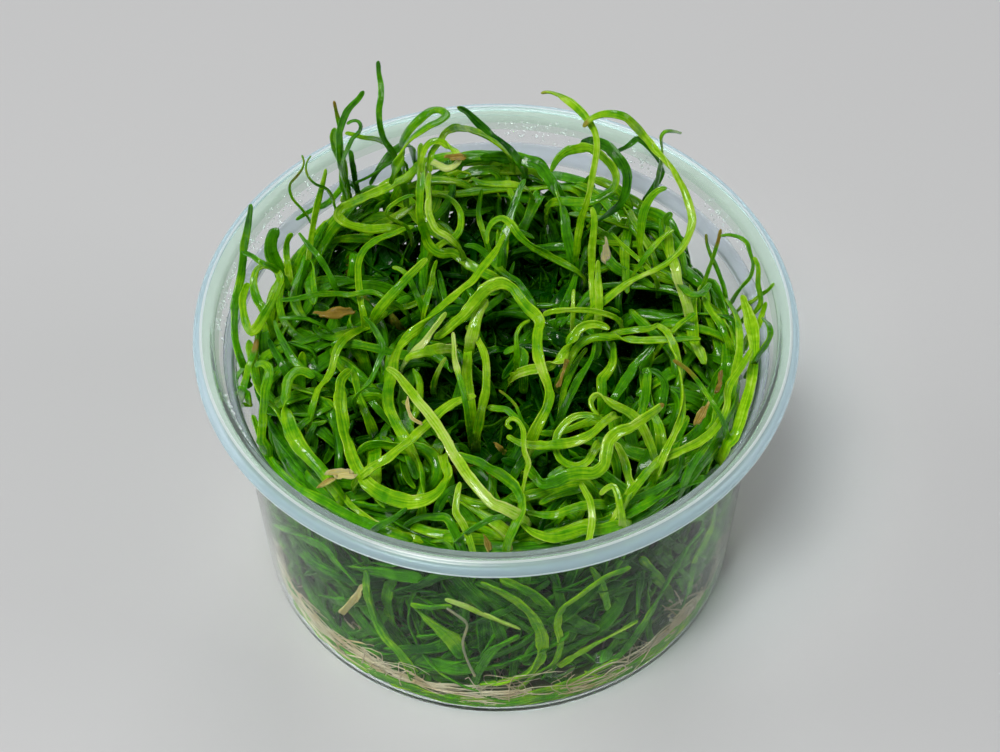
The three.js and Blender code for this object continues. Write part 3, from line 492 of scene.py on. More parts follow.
# Lumps and hollows of the leaf mass under them: centre, radius and rise of each. The mass sinks a little
# toward the wall, most at the front, and low furrows run over it.
TANGLE_FORMS = [
    (1, -13, 5.5, -8), (5, 15, 6, -8), (-19, 15, 6.5, -7), (-7, 12, 4.5, -5.5), (-20, 23, 6, 2.5),
    (-7, 24, 5, 2), (3, 29, 6, 2.5), (14, 22, 6, 2.5), (-24, -8, 7, 1), (13, -14, 7, 1.2),
    (-10, -20, 7, 0.8), (24, 2, 7, 0.8), (0, 2, 6, 1.2),
    (-26, -21, 7, -2.6),
]
TANGLE_CROWN = 41.4
SHOULDER_START = 23.0
SHOULDER_END = 33.5
SHOULDER_DROP = 1.4
FRONT_DROP = 0.6
TANGLE_TO_WALL = 2.6
FURROW_HEIGHT = 0.5
FURROW_SPACING = 5.6
FURROW_SWAY = 3
SWAY_LENGTH = 9
FURROW_LENGTH = 4
TINY = 1e-6


def eased(value):
    """A soft rise from nought to one: three squares less two cubes of the value, held between them."""
    share = np.clip(value, 0, 1)
    return share * share * (3 - 2 * share)


def tangle_top(x, y):
    """Height of the leaf mass: a crown less a drop at the wall, plus a bell for each lump and low furrows."""
    reach = np.hypot(x, y)
    shoulder = eased((reach - SHOULDER_START) / (SHOULDER_END - SHOULDER_START))
    front = np.maximum(0, -y / np.maximum(reach, TINY))
    height = TANGLE_CROWN - (SHOULDER_DROP + FRONT_DROP * front) * shoulder
    for centre_x, centre_y, radius, rise in TANGLE_FORMS:
        height = height + rise * np.exp(-((x - centre_x) ** 2 + (y - centre_y) ** 2) / radius**2)
    turn = (x + FURROW_SWAY * np.sin(y / SWAY_LENGTH)) * 2 * np.pi / FURROW_SPACING
    return height + FURROW_HEIGHT * np.sin(turn) * np.cos(y / FURROW_LENGTH)


def sight_line(column, row):
    """Direction through a column and row of the photograph, one unit deep along the view."""
    across = (np.asarray(column, float)[..., None] - FRAME_COLUMNS / 2) / LENS_PIXELS
    down = (np.asarray(row, float)[..., None] - FRAME_ROWS / 2) / LENS_PIXELS
    return -toward_camera + across * frame_right - down * frame_up


def at_depth(column, row, depth):
    """The point at a depth along a sight line."""
    return camera_place + sight_line(column, row) * np.asarray(depth, float)[..., None]


def seen_at(points):
    """Depth, column and row at which the camera sees points: the other way round from at_depth."""
    away = points - camera_place
    depth = away @ -toward_camera
    column = FRAME_COLUMNS / 2 + LENS_PIXELS * (away @ frame_right) / depth
    row = FRAME_ROWS / 2 - LENS_PIXELS * (away @ frame_up) / depth
    return depth, column, row


def knots_round(values, shares):
    """The four knots round each share of an even row of them, which is mirrored past its ends, and the part
    of the way from the second to the third."""
    place = shares * (len(values) - 1)
    low = np.minimum(place.astype(int), len(values) - 2)
    padded = np.concatenate([[2 * values[0] - values[1]], values, [2 * values[-1] - values[-2]]])
    return [padded[low + k] for k in range(4)], place - low


def cubic(start, end, leave, arrive, part):
    """The cubic that leaves the start and arrives at the end with the given slopes, at a part of the way."""
    square = 3 * (end - start) - 2 * leave - arrive
    cube = 2 * (start - end) + leave + arrive
    return start + part * (leave + part * (square + part * cube))


def smooth_between(values, shares):
    """Values at given shares of an even row of them, on the Catmull-Rom cubic."""
    (p0, p1, p2, p3), part = knots_round(np.asarray(values, float), np.clip(shares, 0, 1))
    return cubic(p1, p2, (p2 - p0) / 2, (p3 - p1) / 2, part)


def trace_curve(points, shares):
    """Points at shares of the length of the centripetal Catmull-Rom curve through a trace, and its length."""
    points = np.asarray(points, float)

    def curve(turns):
        (p0, p1, p2, p3), part = knots_round(points, turns)
        d0, d1, d2 = (np.linalg.norm(after - before, axis=1, keepdims=True) ** 0.5
                      for before, after in ((p0, p1), (p1, p2), (p2, p3)))
        leave = ((p1 - p0) / d0 - (p2 - p0) / (d0 + d1) + (p2 - p1) / d1) * d1
        arrive = ((p2 - p1) / d1 - (p3 - p1) / (d1 + d2) + (p3 - p2) / d2) * d1
        return cubic(p1, p2, leave, arrive, part[:, None])

    turns = np.linspace(0, 1, 201)
    steps = np.linalg.norm(np.diff(curve(turns), axis=0), axis=1)
    run = np.concatenate([[0], np.cumsum(steps)])
    return curve(np.interp(np.asarray(shares) * run[-1], run, turns)), run[-1]


def depth_inside_cup(column, row, depth, half_width):
    """The nearest depth to the wanted one at which a leaf's point is above the rim or inside the wall."""
    stride = 0.2
    most_strides = 60
    for _ in range(most_strides):
        x, y, z = at_depth(column, row, depth)
        if z > CUP_HEIGHT + half_width + SETTLING_GAP:
            break
        if np.hypot(x, y) + half_width * SLANTED_WIDTH_SHARE + LEAF_SPACING < inner_radius(z):
            break
        depth += stride if y < 0 else -stride
    return depth


nearest = np.full((FRAME_ROWS, FRAME_COLUMNS), np.inf, np.float32)
farthest = np.full((FRAME_ROWS, FRAME_COLUMNS), -np.inf, np.float32)


def pixels_within(column, row, radius):
    """The square of pixels round a spot, as two slices."""
    rows = slice(int(np.floor(row - radius)), int(np.floor(row + radius)) + 1)
    columns = slice(int(np.floor(column - radius)), int(np.floor(column + radius)) + 1)
    return rows, columns


def stamp_tangle():
    """Marks the depth of the leaf mass's top at the pixels where it shows."""
    spacing = 0.12
    overlap = 0.6
    reach = inner_radius(TANGLE_CROWN - SHOULDER_DROP) - TANGLE_TO_WALL
    side = np.arange(-reach, reach, spacing)
    x, y = np.meshgrid(side, side, indexing="ij")
    inside = np.hypot(x, y) <= reach
    x, y = x[inside], y[inside]
    depth, column, row = seen_at(np.stack([x, y, tangle_top(x, y)], 1))
    for down in (-overlap, overlap):
        for across in (-overlap, overlap):
            spot = (np.floor(row + down).astype(int), np.floor(column + across).astype(int))
            np.minimum.at(nearest, spot, depth.astype(np.float32))


def lay_leaf(trace, width, heights, under=False):
    """Depths along a traced leaf: at its heights, but before what lies there, or behind if it runs under."""
    length = trace_curve(trace, [0.0])[1]
    count = max(3, int(np.floor(length / PIXELS_PER_MM / LEAF_STEP + 0.5)))
    shares = np.arange(count + 1) / count
    spots = trace_curve(trace, shares)[0]
    radius = width / 2 * PIXELS_PER_MM + 1
    clearance = LEAF_THICKNESS / 2 + LEAF_SPACING
    levels = np.interp(shares, np.linspace(0, 1, len(heights)), heights)
    depths = (levels - camera_place[2]) / sight_line(spots[:, 0], spots[:, 1])[:, 2]
    depths = np.array([depth_inside_cup(*spot, depth, width / 2) for spot, depth in zip(spots, depths)])
    needed = np.zeros(count + 1)
    samples = []
    for ring in range(count):
        for part in np.arange(6) / 5:
            column, row = spots[ring] + part * (spots[ring + 1] - spots[ring])
            depth = depths[ring] + part * (depths[ring + 1] - depths[ring])
            spot = pixels_within(column, row, radius)
            behind = farthest[spot].max() + clearance - depth
            before = depth - (nearest[spot].min() - clearance)
            needed[ring:ring + 2] = np.maximum(needed[ring:ring + 2], behind if under else before)
            samples.append((spot, ring, part))
    reach = int(np.ceil(HUMP_REACH / LEAF_STEP))
    apart = np.abs(np.arange(count + 1)[:, None] - np.arange(count + 1))
    fade = np.where(apart <= reach, np.cos(apart / (reach + 1) * np.pi / 2) ** 2, 0)
    humps = np.max(needed * fade, axis=1)
    depths = depths + humps if under else depths - humps
    for spot, ring, part in samples:
        depth = depths[ring] + part * (depths[ring + 1] - depths[ring])
        nearest[spot] = np.minimum(nearest[spot], depth - LEAF_THICKNESS / 2)
        farthest[spot] = np.maximum(farthest[spot], depth + LEAF_THICKNESS / 2)
    return depths


def ring_places(length, end_round):
    """Distances along a leaf for its rings: even ones, and closer ones where its ends are rounded."""
    close = end_round * np.array([0, 0.05, 0.18, 0.4, 0.7])
    even = np.linspace(end_round, length - end_round, max(3, int((length - 2 * end_round) / RING_STEP)))
    return np.concatenate([close, even, (length - close)[::-1]])


def unit(vectors):
    """The vectors at length one."""
    return vectors / np.maximum(np.linalg.norm(vectors, axis=-1, keepdims=True), 1e-9)


def ribbon_normals(lines, toward, hold, roll):
    """Broad-side directions along many lines: carried along without twist, then turned softly toward the
    wanted direction, as firmly as hold says, and rolled by the given angles."""
    along = unit(np.gradient(lines, axis=1))
    normals = np.empty_like(lines)
    start = toward[:, 0] - np.sum(toward[:, 0] * along[:, 0], -1, keepdims=True) * along[:, 0]
    normals[:, 0] = unit(start + 1e-4)
    for ring in range(1, lines.shape[1]):
        carried = normals[:, ring - 1]
        slip = np.sum(carried * along[:, ring], -1, keepdims=True)
        normals[:, ring] = unit(carried - slip * along[:, ring])
    across = np.cross(along, normals)
    side = np.sum(toward * across, -1)
    face = np.sum(toward * normals, -1)
    wanted = np.arctan2(side, face)
    firmness = hold * (side**2 + face**2)
    turn = np.repeat(wanted[:, :1], wanted.shape[1], 1)
    pull = 6.0
    rounds = 120
    for _ in range(rounds):
        near = wanted + np.pi * np.round((turn - wanted) / np.pi)
        padded = np.pad(turn, ((0, 0), (1, 1)), "edge")
        turn = (firmness * near + pull * (padded[:, :-2] + padded[:, 2:])) / (firmness + 2 * pull)
    turn = turn + roll
    return along, np.cos(turn)[..., None] * normals + np.sin(turn)[..., None] * across


def tube_walls(count, rings, sides):
    """The numbers of the points of closed tubes, by tube, ring and side, and the quads round them."""
    spot = np.arange(count * rings * sides).reshape(count, rings, sides)
    after = np.roll(spot, -1, 2)
    return spot, np.stack([spot[:, :-1], spot[:, 1:], after[:, 1:], after[:, :-1]], -1).reshape(-1, 4)


def leaf_bodies(lines, along, normals, half_widths, half_depths, sides, cupping, waves):
    """Closed ribbons round many lines. Round the section, half width times cosine goes across and half depth
    times sine goes out, less a groove along the middle of the upper face, plus a bow that folds the blade up
    on both sides of its middle, which is lowered as much as its edges rise. The two edges rise and fall, and
    come in and out, each by its own waves."""
    fullness = 0.65
    groove_depth = 0.5
    groove_half = 0.3
    across = np.cross(along, normals)
    angle = np.linspace(0, 2 * np.pi, sides, endpoint=False)
    cosine, sine = np.cos(angle), np.sin(angle)
    upper = np.sign(sine) * np.abs(sine) ** fullness
    upper = upper - groove_depth * np.exp(-((cosine / groove_half) ** 2)) * (sine > 0)
    left, right = (wave[..., None] * np.clip(side * cosine, 0, 1) ** 2 for wave, side in zip(waves, (-1, 1)))
    x = half_widths[..., None] * cosine * (1 - 0.25 * np.abs(cupping)[..., None] - 0.8 * np.abs(left + right))
    bow = np.abs(cosine) ** 1.5 - 0.5
    y = half_depths[..., None] * upper + half_widths[..., None] * (cupping[..., None] * bow + left + right)
    points = lines[:, :, None] + x[..., None] * across[:, :, None] + y[..., None] * normals[:, :, None]
    spot, walls = tube_walls(*lines.shape[:2], sides)
    k = np.arange(sides // 2 - 1)
    near = spot[:, 0][:, np.stack([k, k + 1, sides - 2 - k, sides - 1 - k], 1)].reshape(-1, 4)
    far = spot[:, -1][:, np.stack([sides - 1 - k, sides - 2 - k, k + 1, k], 1)].reshape(-1, 4)
    return points.reshape(-1, 3), np.vstack([walls, near, far])


def end_rounding(distance, length, end_round):
    """Share of the full section: it closes like a quarter circle over the last stretch at both ends."""
    from_end = np.clip(np.minimum(distance, length - distance) / end_round, 0, 1)
    return np.maximum(np.sqrt(1 - (1 - from_end) ** 2), 0.08)


def end_thinning(rounding):
    """Share of the full thickness: the ends keep a third of it, so that they are blunt."""
    return 0.35 + 0.65 * rounding


def value_noise(random, places, spacing, size):
    """Smooth random values along many lines: random knots at even spacing, joined by a cosine."""
    knots = int(np.max(places) / spacing) + 3
    values = random.normal(0, size, (len(places), knots))
    place = places / spacing
    low = place.astype(int)
    part = (1 - np.cos((place - low) * np.pi)) / 2
    rows = np.arange(len(places))[:, None]
    return values[rows, low] * (1 - part) + values[rows, low + 1] * part


LEAF_COLOURS = ("Deep", "Middle", "Bright", "Pale", "Dry")
WET_FROM = 0.032
WET_FULLY = 0.038
PRESSED_FILM = 0.12


def leaf_blade_group():
    """The leaf's look from its point values: colour from deep to lime green by tone, with lengthwise veins,
    mottling, paler edges and browned ends, and past lime a palest colour that is partly pale leaf and partly
    painted highlight streaks; a roughness; a height for the veins, creases and faint bars between air cells;
    and a film of water, which is gone where leaves lie pressed together below the ledge."""
    group, ins, outs = new_group(
        "leaf blade", dict.fromkeys(LEAF_COLOURS, "Color"),
        {"Colour": "Color", "Roughness": "Float", "Height": "Float", "Film": "Float"})
    tone, across, along, dryness = (
        add_node(group, "Attribute", {"attribute_name": key}).outputs["Fac"]
        for key in ("tone", "across", "along", "dryness"))
    place = add_node(group, "TexCoord").outputs["Object"]

    def math(operation, first, second=0.0, third=0.0, clamp=False):
        settings = {"operation": operation, "use_clamp": clamp}
        return add_node(group, "Math", settings, i0=first, i1=second, i2=third).outputs[0]

    def mapped(value, start, end, low=0.0, high=1.0):
        return add_node(group, "MapRange", i0=value, i1=start, i2=end, i3=low, i4=high).outputs[0]

    def mixed(share, first, key):
        settings = {"data_type": "RGBA"}
        return add_node(group, "Mix", settings, i0=share, i6=first, i7=ins.outputs[key]).outputs[2]

    def streaks(across_scale, along_scale, **noise):
        x, y = math("MULTIPLY", across, across_scale), math("MULTIPLY", along, along_scale)
        spot = add_node(group, "CombineXYZ", X=x, Y=y, Z=tone).outputs[0]
        return add_node(group, "TexNoise", Vector=spot, **noise).outputs[0]

    veins = streaks(2.6, 0.11, Scale=1.6, Detail=3.0, Roughness=0.6)
    bars = streaks(0.5, 1.5, Scale=1.0, Detail=1.0)
    creases = streaks(0.9, 0.8, Scale=1.3, Detail=3.0, Roughness=0.55)
    age = add_node(group, "TexNoise", {"noise_dimensions": "1D"}, W=along, Scale=0.22, Detail=1.0).outputs[0]
    mottle = add_node(group, "TexNoise", Vector=place, Scale=420.0, Detail=3.0, Roughness=0.6).outputs[0]
    shade = tone
    for pattern, strength in ((mottle, 0.6), (veins, 1.1), (bars, 0.3), (age, 0.5)):
        shade = math("MULTIPLY_ADD", math("SUBTRACT", pattern, 0.5), strength, shade)
    edge = math("POWER", math("ABSOLUTE", across), 5.0)
    shade = math("MULTIPLY_ADD", edge, 0.16, shade)
    green = mixed(math("MULTIPLY", shade, 2.0, clamp=True), ins.outputs["Deep"], "Middle")
    green = mixed(math("MULTIPLY_ADD", shade, 2.0, -1.0, clamp=True), green, "Bright")
    # Past lime the colour runs to the palest one: pale leaf, and painted highlight streaks where the tone is
    # highest
    green = mixed(mapped(shade, 0.92, 1.45), green, "Pale")
    patches = math("MULTIPLY_ADD", math("SUBTRACT", mottle, 0.5), 1.2, dryness)
    worn = mapped(patches, 0.35, 0.75)
    rough = math("MULTIPLY_ADD", worn, 0.35, math("MULTIPLY_ADD", mottle, 0.22, 0.2))
    height = math("MULTIPLY_ADD", bars, 0.5, math("MULTIPLY_ADD", mottle, 0.6, veins))
    level = add_node(group, "SeparateXYZ", Vector=place).outputs["Z"]
    film = mapped(level, WET_FROM, WET_FULLY, PRESSED_FILM)
    feed(group, outs, {
        "Colour": mixed(worn, green, "Dry"),
        "Roughness": rough,
        "Height": math("MULTIPLY_ADD", creases, 1.8, height),
        "Film": math("MULTIPLY", film, math("MULTIPLY_ADD", worn, -0.8, 1.0)),
    })
    return group


leaf_blade = leaf_blade_group()
SKIN_SHINE = 0.08


def leaf_finish(name, colours, coat):
    """Leaf skin of one group of leaves from its five colours, with a thin film of water as its coat."""
    finish, tree, shader = new_finish(name)
    colours = {key: (*colour, 1.0) for key, colour in zip(LEAF_COLOURS, colours)}
    blade = add_node(tree, "Group", {"node_tree": leaf_blade}, **colours)
    bump = add_node(tree, "Bump", Strength=0.75, Distance=0.00018, Height=blade.outputs["Height"])
    film_bump = add_node(tree, "Bump", Strength=0.3, Distance=0.0001, Height=blade.outputs["Height"])
    coating = add_node(tree, "Math", {"operation": "MULTIPLY"}, i0=blade.outputs["Film"], i1=coat)
    feed(tree, shader, {
        "Base Color": blade.outputs["Colour"], "Roughness": blade.outputs["Roughness"],
        "Normal": bump.outputs[0], "IOR": 1.4, "Specular IOR Level": SKIN_SHINE,
        "Coat Weight": coating.outputs[0], "Coat Normal": film_bump.outputs[0], "Coat Roughness": 0.08,
        "Subsurface Weight": 0.3, "Subsurface Radius": (0.6, 1.0, 0.12), "Subsurface Scale": 0.0009,
    })
    return finish


DEEP_GREEN = (0.004, 0.085, 0.000)
MIDDLE_GREEN = (0.085, 0.370, 0.000)
LIME_GREEN = (0.420, 0.770, 0.006)
# Palest green: pale leaf, and also painted highlight streaks on the brightest parts of the leaves
PALE_VEIN_AND_HIGHLIGHT_GREEN = (0.720, 0.900, 0.260)
TAN = (0.34, 0.24, 0.03)
fresh_leaf = leaf_finish("fresh leaf", (DEEP_GREEN, MIDDLE_GREEN, LIME_GREEN, PALE_VEIN_AND_HIGHLIGHT_GREEN, TAN), 0.62)

# Where a leaf isn't the usual middle green: its tone from deep 0 to lime 1, and past it for the palest ones
LEAF_TONES = {
    "left_upright": 0.4, "left_loop": 0.7, "pale_upright": 0.88, "olive_tip": 0.45, "dark_tip": 0.42,
    "pale_broad": 0.72, "back_broad": 0.16, "back_lean": 0.36, "back_ladder": 0.32, "dark_arch": 0.2,
    "light_arch": 0.64, "tall_arc_one": 0.86, "tall_arc_two": 0.84, "lime_knot": 0.84, "right_hook": 0.55,
    "pale_tongue": 0.8, "right_broad": 0.85, "right_long": 0.75, "right_rail": 0.7, "right_post": 0.8,
    "s_leaf": 0.82, "long_sweep": 0.68, "right_blade": 0.66, "centre_arch": 0.76, "c_leaf": 0.62,
    "broad_fold": 0.75, "long_blade": 0.95, "glossy_tip": 0.84, "small_curl": 0.88, "curled_hook": 0.84,
    "through_curl": 0.8, "circle_curl": 0.82, "sprig_left": 0.5, "sprig_right": 0.64, "ring_curl": 0.8,
    "folded_loop": 0.5, "back_arc": 0.74, "front_sweep": 0.65, "front_wall_sweep": 0.5, "pale_blade": 1.3,
    "lumpy_lobe": 0.96, "lumpy": 0.98, "pale_tip": 1.1, "wall_yellow": 1.15, "centre_blade": 0.75,
    "pale_fork": 0.9, "mid_rail": 0.74, "crossing_blade": 0.86, "thin_arch": 0.72, "rail_under": 0.76,
    "lime_side": 0.88, "pale_stub": 1.0, "strap_twin": 0.9, "back_band": 0.8, "front_ribbon": 0.92,
    "twin_broad": 0.75, "elbow": 0.8, "front_blade": 0.7, "centre_ring": 0.72, "front_hook": 0.85,
    "small_left_post": 0.72, "front_post": 0.85, "mid_bar": 0.84, "back_twig": 0.7, "s_twin": 0.7,
    "twin_bright": 0.82, "centre_strap": 0.66, "right_edge_top": 0.8, "falling_leaf": 0.7,
    "right_thin": 0.68, "yellow_post": 0.82, "post_left": 0.66, "left_bend": 0.66, "right_twig": 0.64,
    "left_drop_dark": 0.1, "dark_twist": 0.14, "crumpled_back": 0.2, "left_bar": 0.3, "high_cross": 0.3,
    "front_arch": 0.2, "prong_two": 0.26, "bright_thread": 0.2, "stem_dark": 0.12, "wall_hairpin": 0.3,
    "wall_long_left": 0.24, "wall_curl": 0.34, "wall_ribbon": 0.3, "wall_slant": 0.32, "post_dark": 0.3,
    "low_cross": 0.32, "back_dark": 0.28, "c_rung": 0.32, "olive_thread": 0.6, "olive_thread_two": 0.55,
    "right_arch": 0.58, "rim_bit": 0.75, "fold_inner": 0.6, "wall_arc": 0.64, "wall_hook": 0.62,
    "wall_sweep_right": 0.7, "wall_twig": 0.55, "wall_foot_right": 0.65, "wall_right_leaf": 0.5,
    "main_stem": 0.6, "slant_three": 0.64, "back_post": 0.5, "rim_hook": 0.5,
}
# Ends that are paler or darker: leaf, share of its length where that starts, and the change of tone
LEAF_FADES = {
    "ring_curl": (0.6, 0.6), "pale_tongue": (0.5, 0.3), "long_blade": (0.0, 0.1), "glossy_tip": (0.5, -0.3),
    "pale_tip": (0.55, -0.5), "tall_arc_one": (0.6, -0.15), "tall_arc_two": (0.7, -0.1),
}
# Tips that have dried: leaf, share of its length that is dry, and how dry it is at the tip. Where the share
# is more than one, the whole leaf is dull.
DRY_TIPS = {
    "olive_tip": (0.5, 0.7), "dark_tip": (0.07, 0.5), "tall_arc_one": (0.06, 0.6),
    "tall_arc_two": (0.05, 0.6), "tan_blade": (0.6, 0.75), "sprig_right": (0.7, 0.7),
    "sprig_left": (0.4, 0.6), "left_fall": (0.15, 0.8),
    "tan_band": (0.55, 0.95), "glossy_tip": (0.04, 0.9), "back_broad": (0.05, 0.6),
    "olive_thread": (1.2, 0.5), "olive_thread_two": (1.2, 0.5), "hollow_thread": (1.2, 0.55),
}
# Leaves that turn over once or twice: the shares of their length where they do
LEAF_TWISTS = {
    "s_leaf": (0.52, 0.74), "curled_hook": (0.3,), "long_sweep": (0.5,), "tall_arc_two": (0.4,),
    "ring_curl": (0.55,), "c_leaf": (0.45,), "right_rail": (0.6,), "folded_loop": (0.35,),
}
TWIST_SPAN = 0.24
FADE_SPAN = 0.15
USUAL_TONE = 0.46
SWELL = 1.15
CUPPING = 0.2
LEAF_SIDES = 14
# How a leaf and a torn bit drift at random along their length: millimetres from knot to knot, and size
ROLL_DRIFT, TORN_ROLL = (11.0, 0.5), (1.6, 0.4)
SWELL_DRIFT, TORN_SWELL = (5.0, 0.1), (1.0, 0.3)
EDGE_DRIFT, TORN_EDGES = (1.7, 0.15), (0.7, 0.25)
THICKNESS_DRIFT = (2.5, 0.08)
CUPPING_DRIFT = (8.0, 0.28)
TONE_DRIFT = (6.0, 0.06)
# Their ends, as shares of the width
END_ROUND = 0.55
TORN_END_ROUND = 0.25
TORN_SHIFT = 0.35
# How a leaf goes on out of sight: most millimetres, share of the swing in each, way down, and depth at its
# end
HIDDEN_STEPS = 26
HIDDEN_PULL = 0.3
HIDDEN_WAY = unit(-toward_camera + np.array([0.0, 0.0, -0.4]))
HIDDEN_DEPTH = 5.0


def traced_line(trace, depths, end_round, hidden_steps):
    """Ring centres of a traced leaf at even lengths in space, their distances along it and the traced length.
    Past the trace it goes on down into the leaf mass: its heading swings to that of the hidden way, and it is
    held inside the wall."""
    fine = np.linspace(0, 1, 400)
    line = at_depth(*trace_curve(trace, fine)[0].T, smooth_between(depths, fine))
    traced = np.sum(np.linalg.norm(np.diff(line, axis=0), axis=1))
    heading = unit(line[-1] - line[-8])
    foot = [line[-1]]
    for _ in range(hidden_steps):
        heading = unit(heading + HIDDEN_PULL * (HIDDEN_WAY - heading))
        place = foot[-1] + heading
        most = inner_radius(place[2]) - 1.0
        place[:2] *= min(1, most / max(np.hypot(*place[:2]), TINY))
        foot.append(place)
        if place[2] < tangle_top(*place[:2]) - HIDDEN_DEPTH:
            break
    line = np.vstack([line] + foot[1:])
    run = np.concatenate([[0], np.cumsum(np.linalg.norm(np.diff(line, axis=0), axis=1))])
    distance = ring_places(run[-1], end_round)
    even = np.stack([np.interp(distance, run, line[:, axis]) for axis in range(3)], 1)
    return even, distance, traced


def leaf_values(random, distance, sides, tone, dryness):
    """Point values of leaves: tone and dryness for each ring, place across the blade, and length along it."""
    angle = np.linspace(0, 2 * np.pi, sides, endpoint=False)
    shift = random.uniform(0, 500, (len(distance), 1))
    full = (*distance.shape, sides)
    return {
        "tone": np.broadcast_to(tone[..., None], full),
        "dryness": np.broadcast_to(dryness[..., None], full),
        "across": np.broadcast_to(np.cos(angle), full),
        "along": np.broadcast_to((distance + shift)[..., None], full),
    }


def toward_viewer_and_up(lines):
    """Wanted broad-side direction of the free leaves: halfway between the viewer's side and straight up."""
    return np.broadcast_to(unit(toward_camera + np.array([0.0, 0.0, 0.7])), lines.shape)


def torn_shift(distance, width, sides):
    """How far each point of a torn bit moves along it: one width from each end the move sets in, and at the
    end it is a slope across the bit plus four or five teeth."""
    angle = np.linspace(0, 2 * np.pi, sides, endpoint=False)
    from_end = distance[-1] - distance
    first = np.clip(1 - distance / width, 0, 1)[:, None] * (np.cos(angle) + 0.5 * np.cos(5 * angle))
    last = np.clip(1 - from_end / width, 0, 1)[:, None] * (0.6 * np.cos(angle) - 0.5 * np.cos(4 * angle))
    return (TORN_SHIFT * width * (first + last)).ravel()


def make_traced_leaf(random, name, width, trace, depths, toward=toward_viewer_and_up,
                     hidden_steps=HIDDEN_STEPS, torn=0.0):
    """Vertices, faces, point values and middle line of one traced leaf. As far as it is torn, it has ragged
    ends, is crumpled and narrows to the first end."""
    end_round = width * (TORN_END_ROUND if torn else END_ROUND)
    line, distance, traced = traced_line(trace, depths, end_round, hidden_steps)

    def drift(whole, ripped=None):
        spacing, size = (ripped[0], ripped[1] * torn) if torn and ripped else whole
        return value_noise(random, distance[None], spacing, size)

    roll = drift(ROLL_DRIFT, TORN_ROLL)
    for share in LEAF_TWISTS.get(name, ()):
        roll = roll + np.pi * eased((distance / traced - share) / TWIST_SPAN + 0.5)
    along, normals = ribbon_normals(line[None], toward(line[None]), np.ones((1, len(line))), roll)
    swell = SWELL + drift(SWELL_DRIFT, TORN_SWELL)
    if torn:
        taper = 1 - 0.5 * torn * np.clip(1 - distance / width, 0, 1)
    else:
        taper = 0.6 + 0.4 * np.clip(distance / 6.0, 0, 1) ** 0.75
    rounding = end_rounding(distance, distance[-1], end_round)
    half_widths = (width / 2 * rounding * taper) * swell
    half_depths = BLADE_THICKNESS / 2 * end_thinning(rounding)[None] * (1 + drift(THICKNESS_DRIFT))
    cupping = CUPPING + drift(CUPPING_DRIFT)
    waves = [drift(EDGE_DRIFT, TORN_EDGES) for _ in range(2)]
    points, faces = leaf_bodies(
        line[None], along, normals, half_widths, half_depths, LEAF_SIDES, cupping, waves)
    if torn:
        shift = torn_shift(distance, width, LEAF_SIDES)
        points = points + shift[..., None] * np.repeat(along[0], LEAF_SIDES, 0)
    usual = USUAL_TONE + random.uniform(-0.12, 0.14)
    tones = LEAF_TONES.get(name, usual) + drift(TONE_DRIFT)
    start, change = LEAF_FADES.get(name, (1.0, 0.0))
    tones = tones + change * np.clip((distance / traced - start) / FADE_SPAN, 0, 1)
    reach, strength = DRY_TIPS.get(name, (1.0, 0.0))
    dryness = strength * np.clip(1.6 * (1 - distance / (reach * traced)), 0, 1)
    return points, faces, leaf_values(random, distance[None], LEAF_SIDES, tones, dryness[None]), line


random = np.random.default_rng(41)
stamp_tangle()
laid_lines = []
for name, width, heights, trace in FREE_LEAVES:
    depths = lay_leaf(trace, width, heights)
    points, faces, values, line = make_traced_leaf(random, name, width, trace, depths)
    add_piece(f"{name}_leaf", points, faces, [fresh_leaf], [f"leaf_{name}"], values)
    laid_lines.append(line)

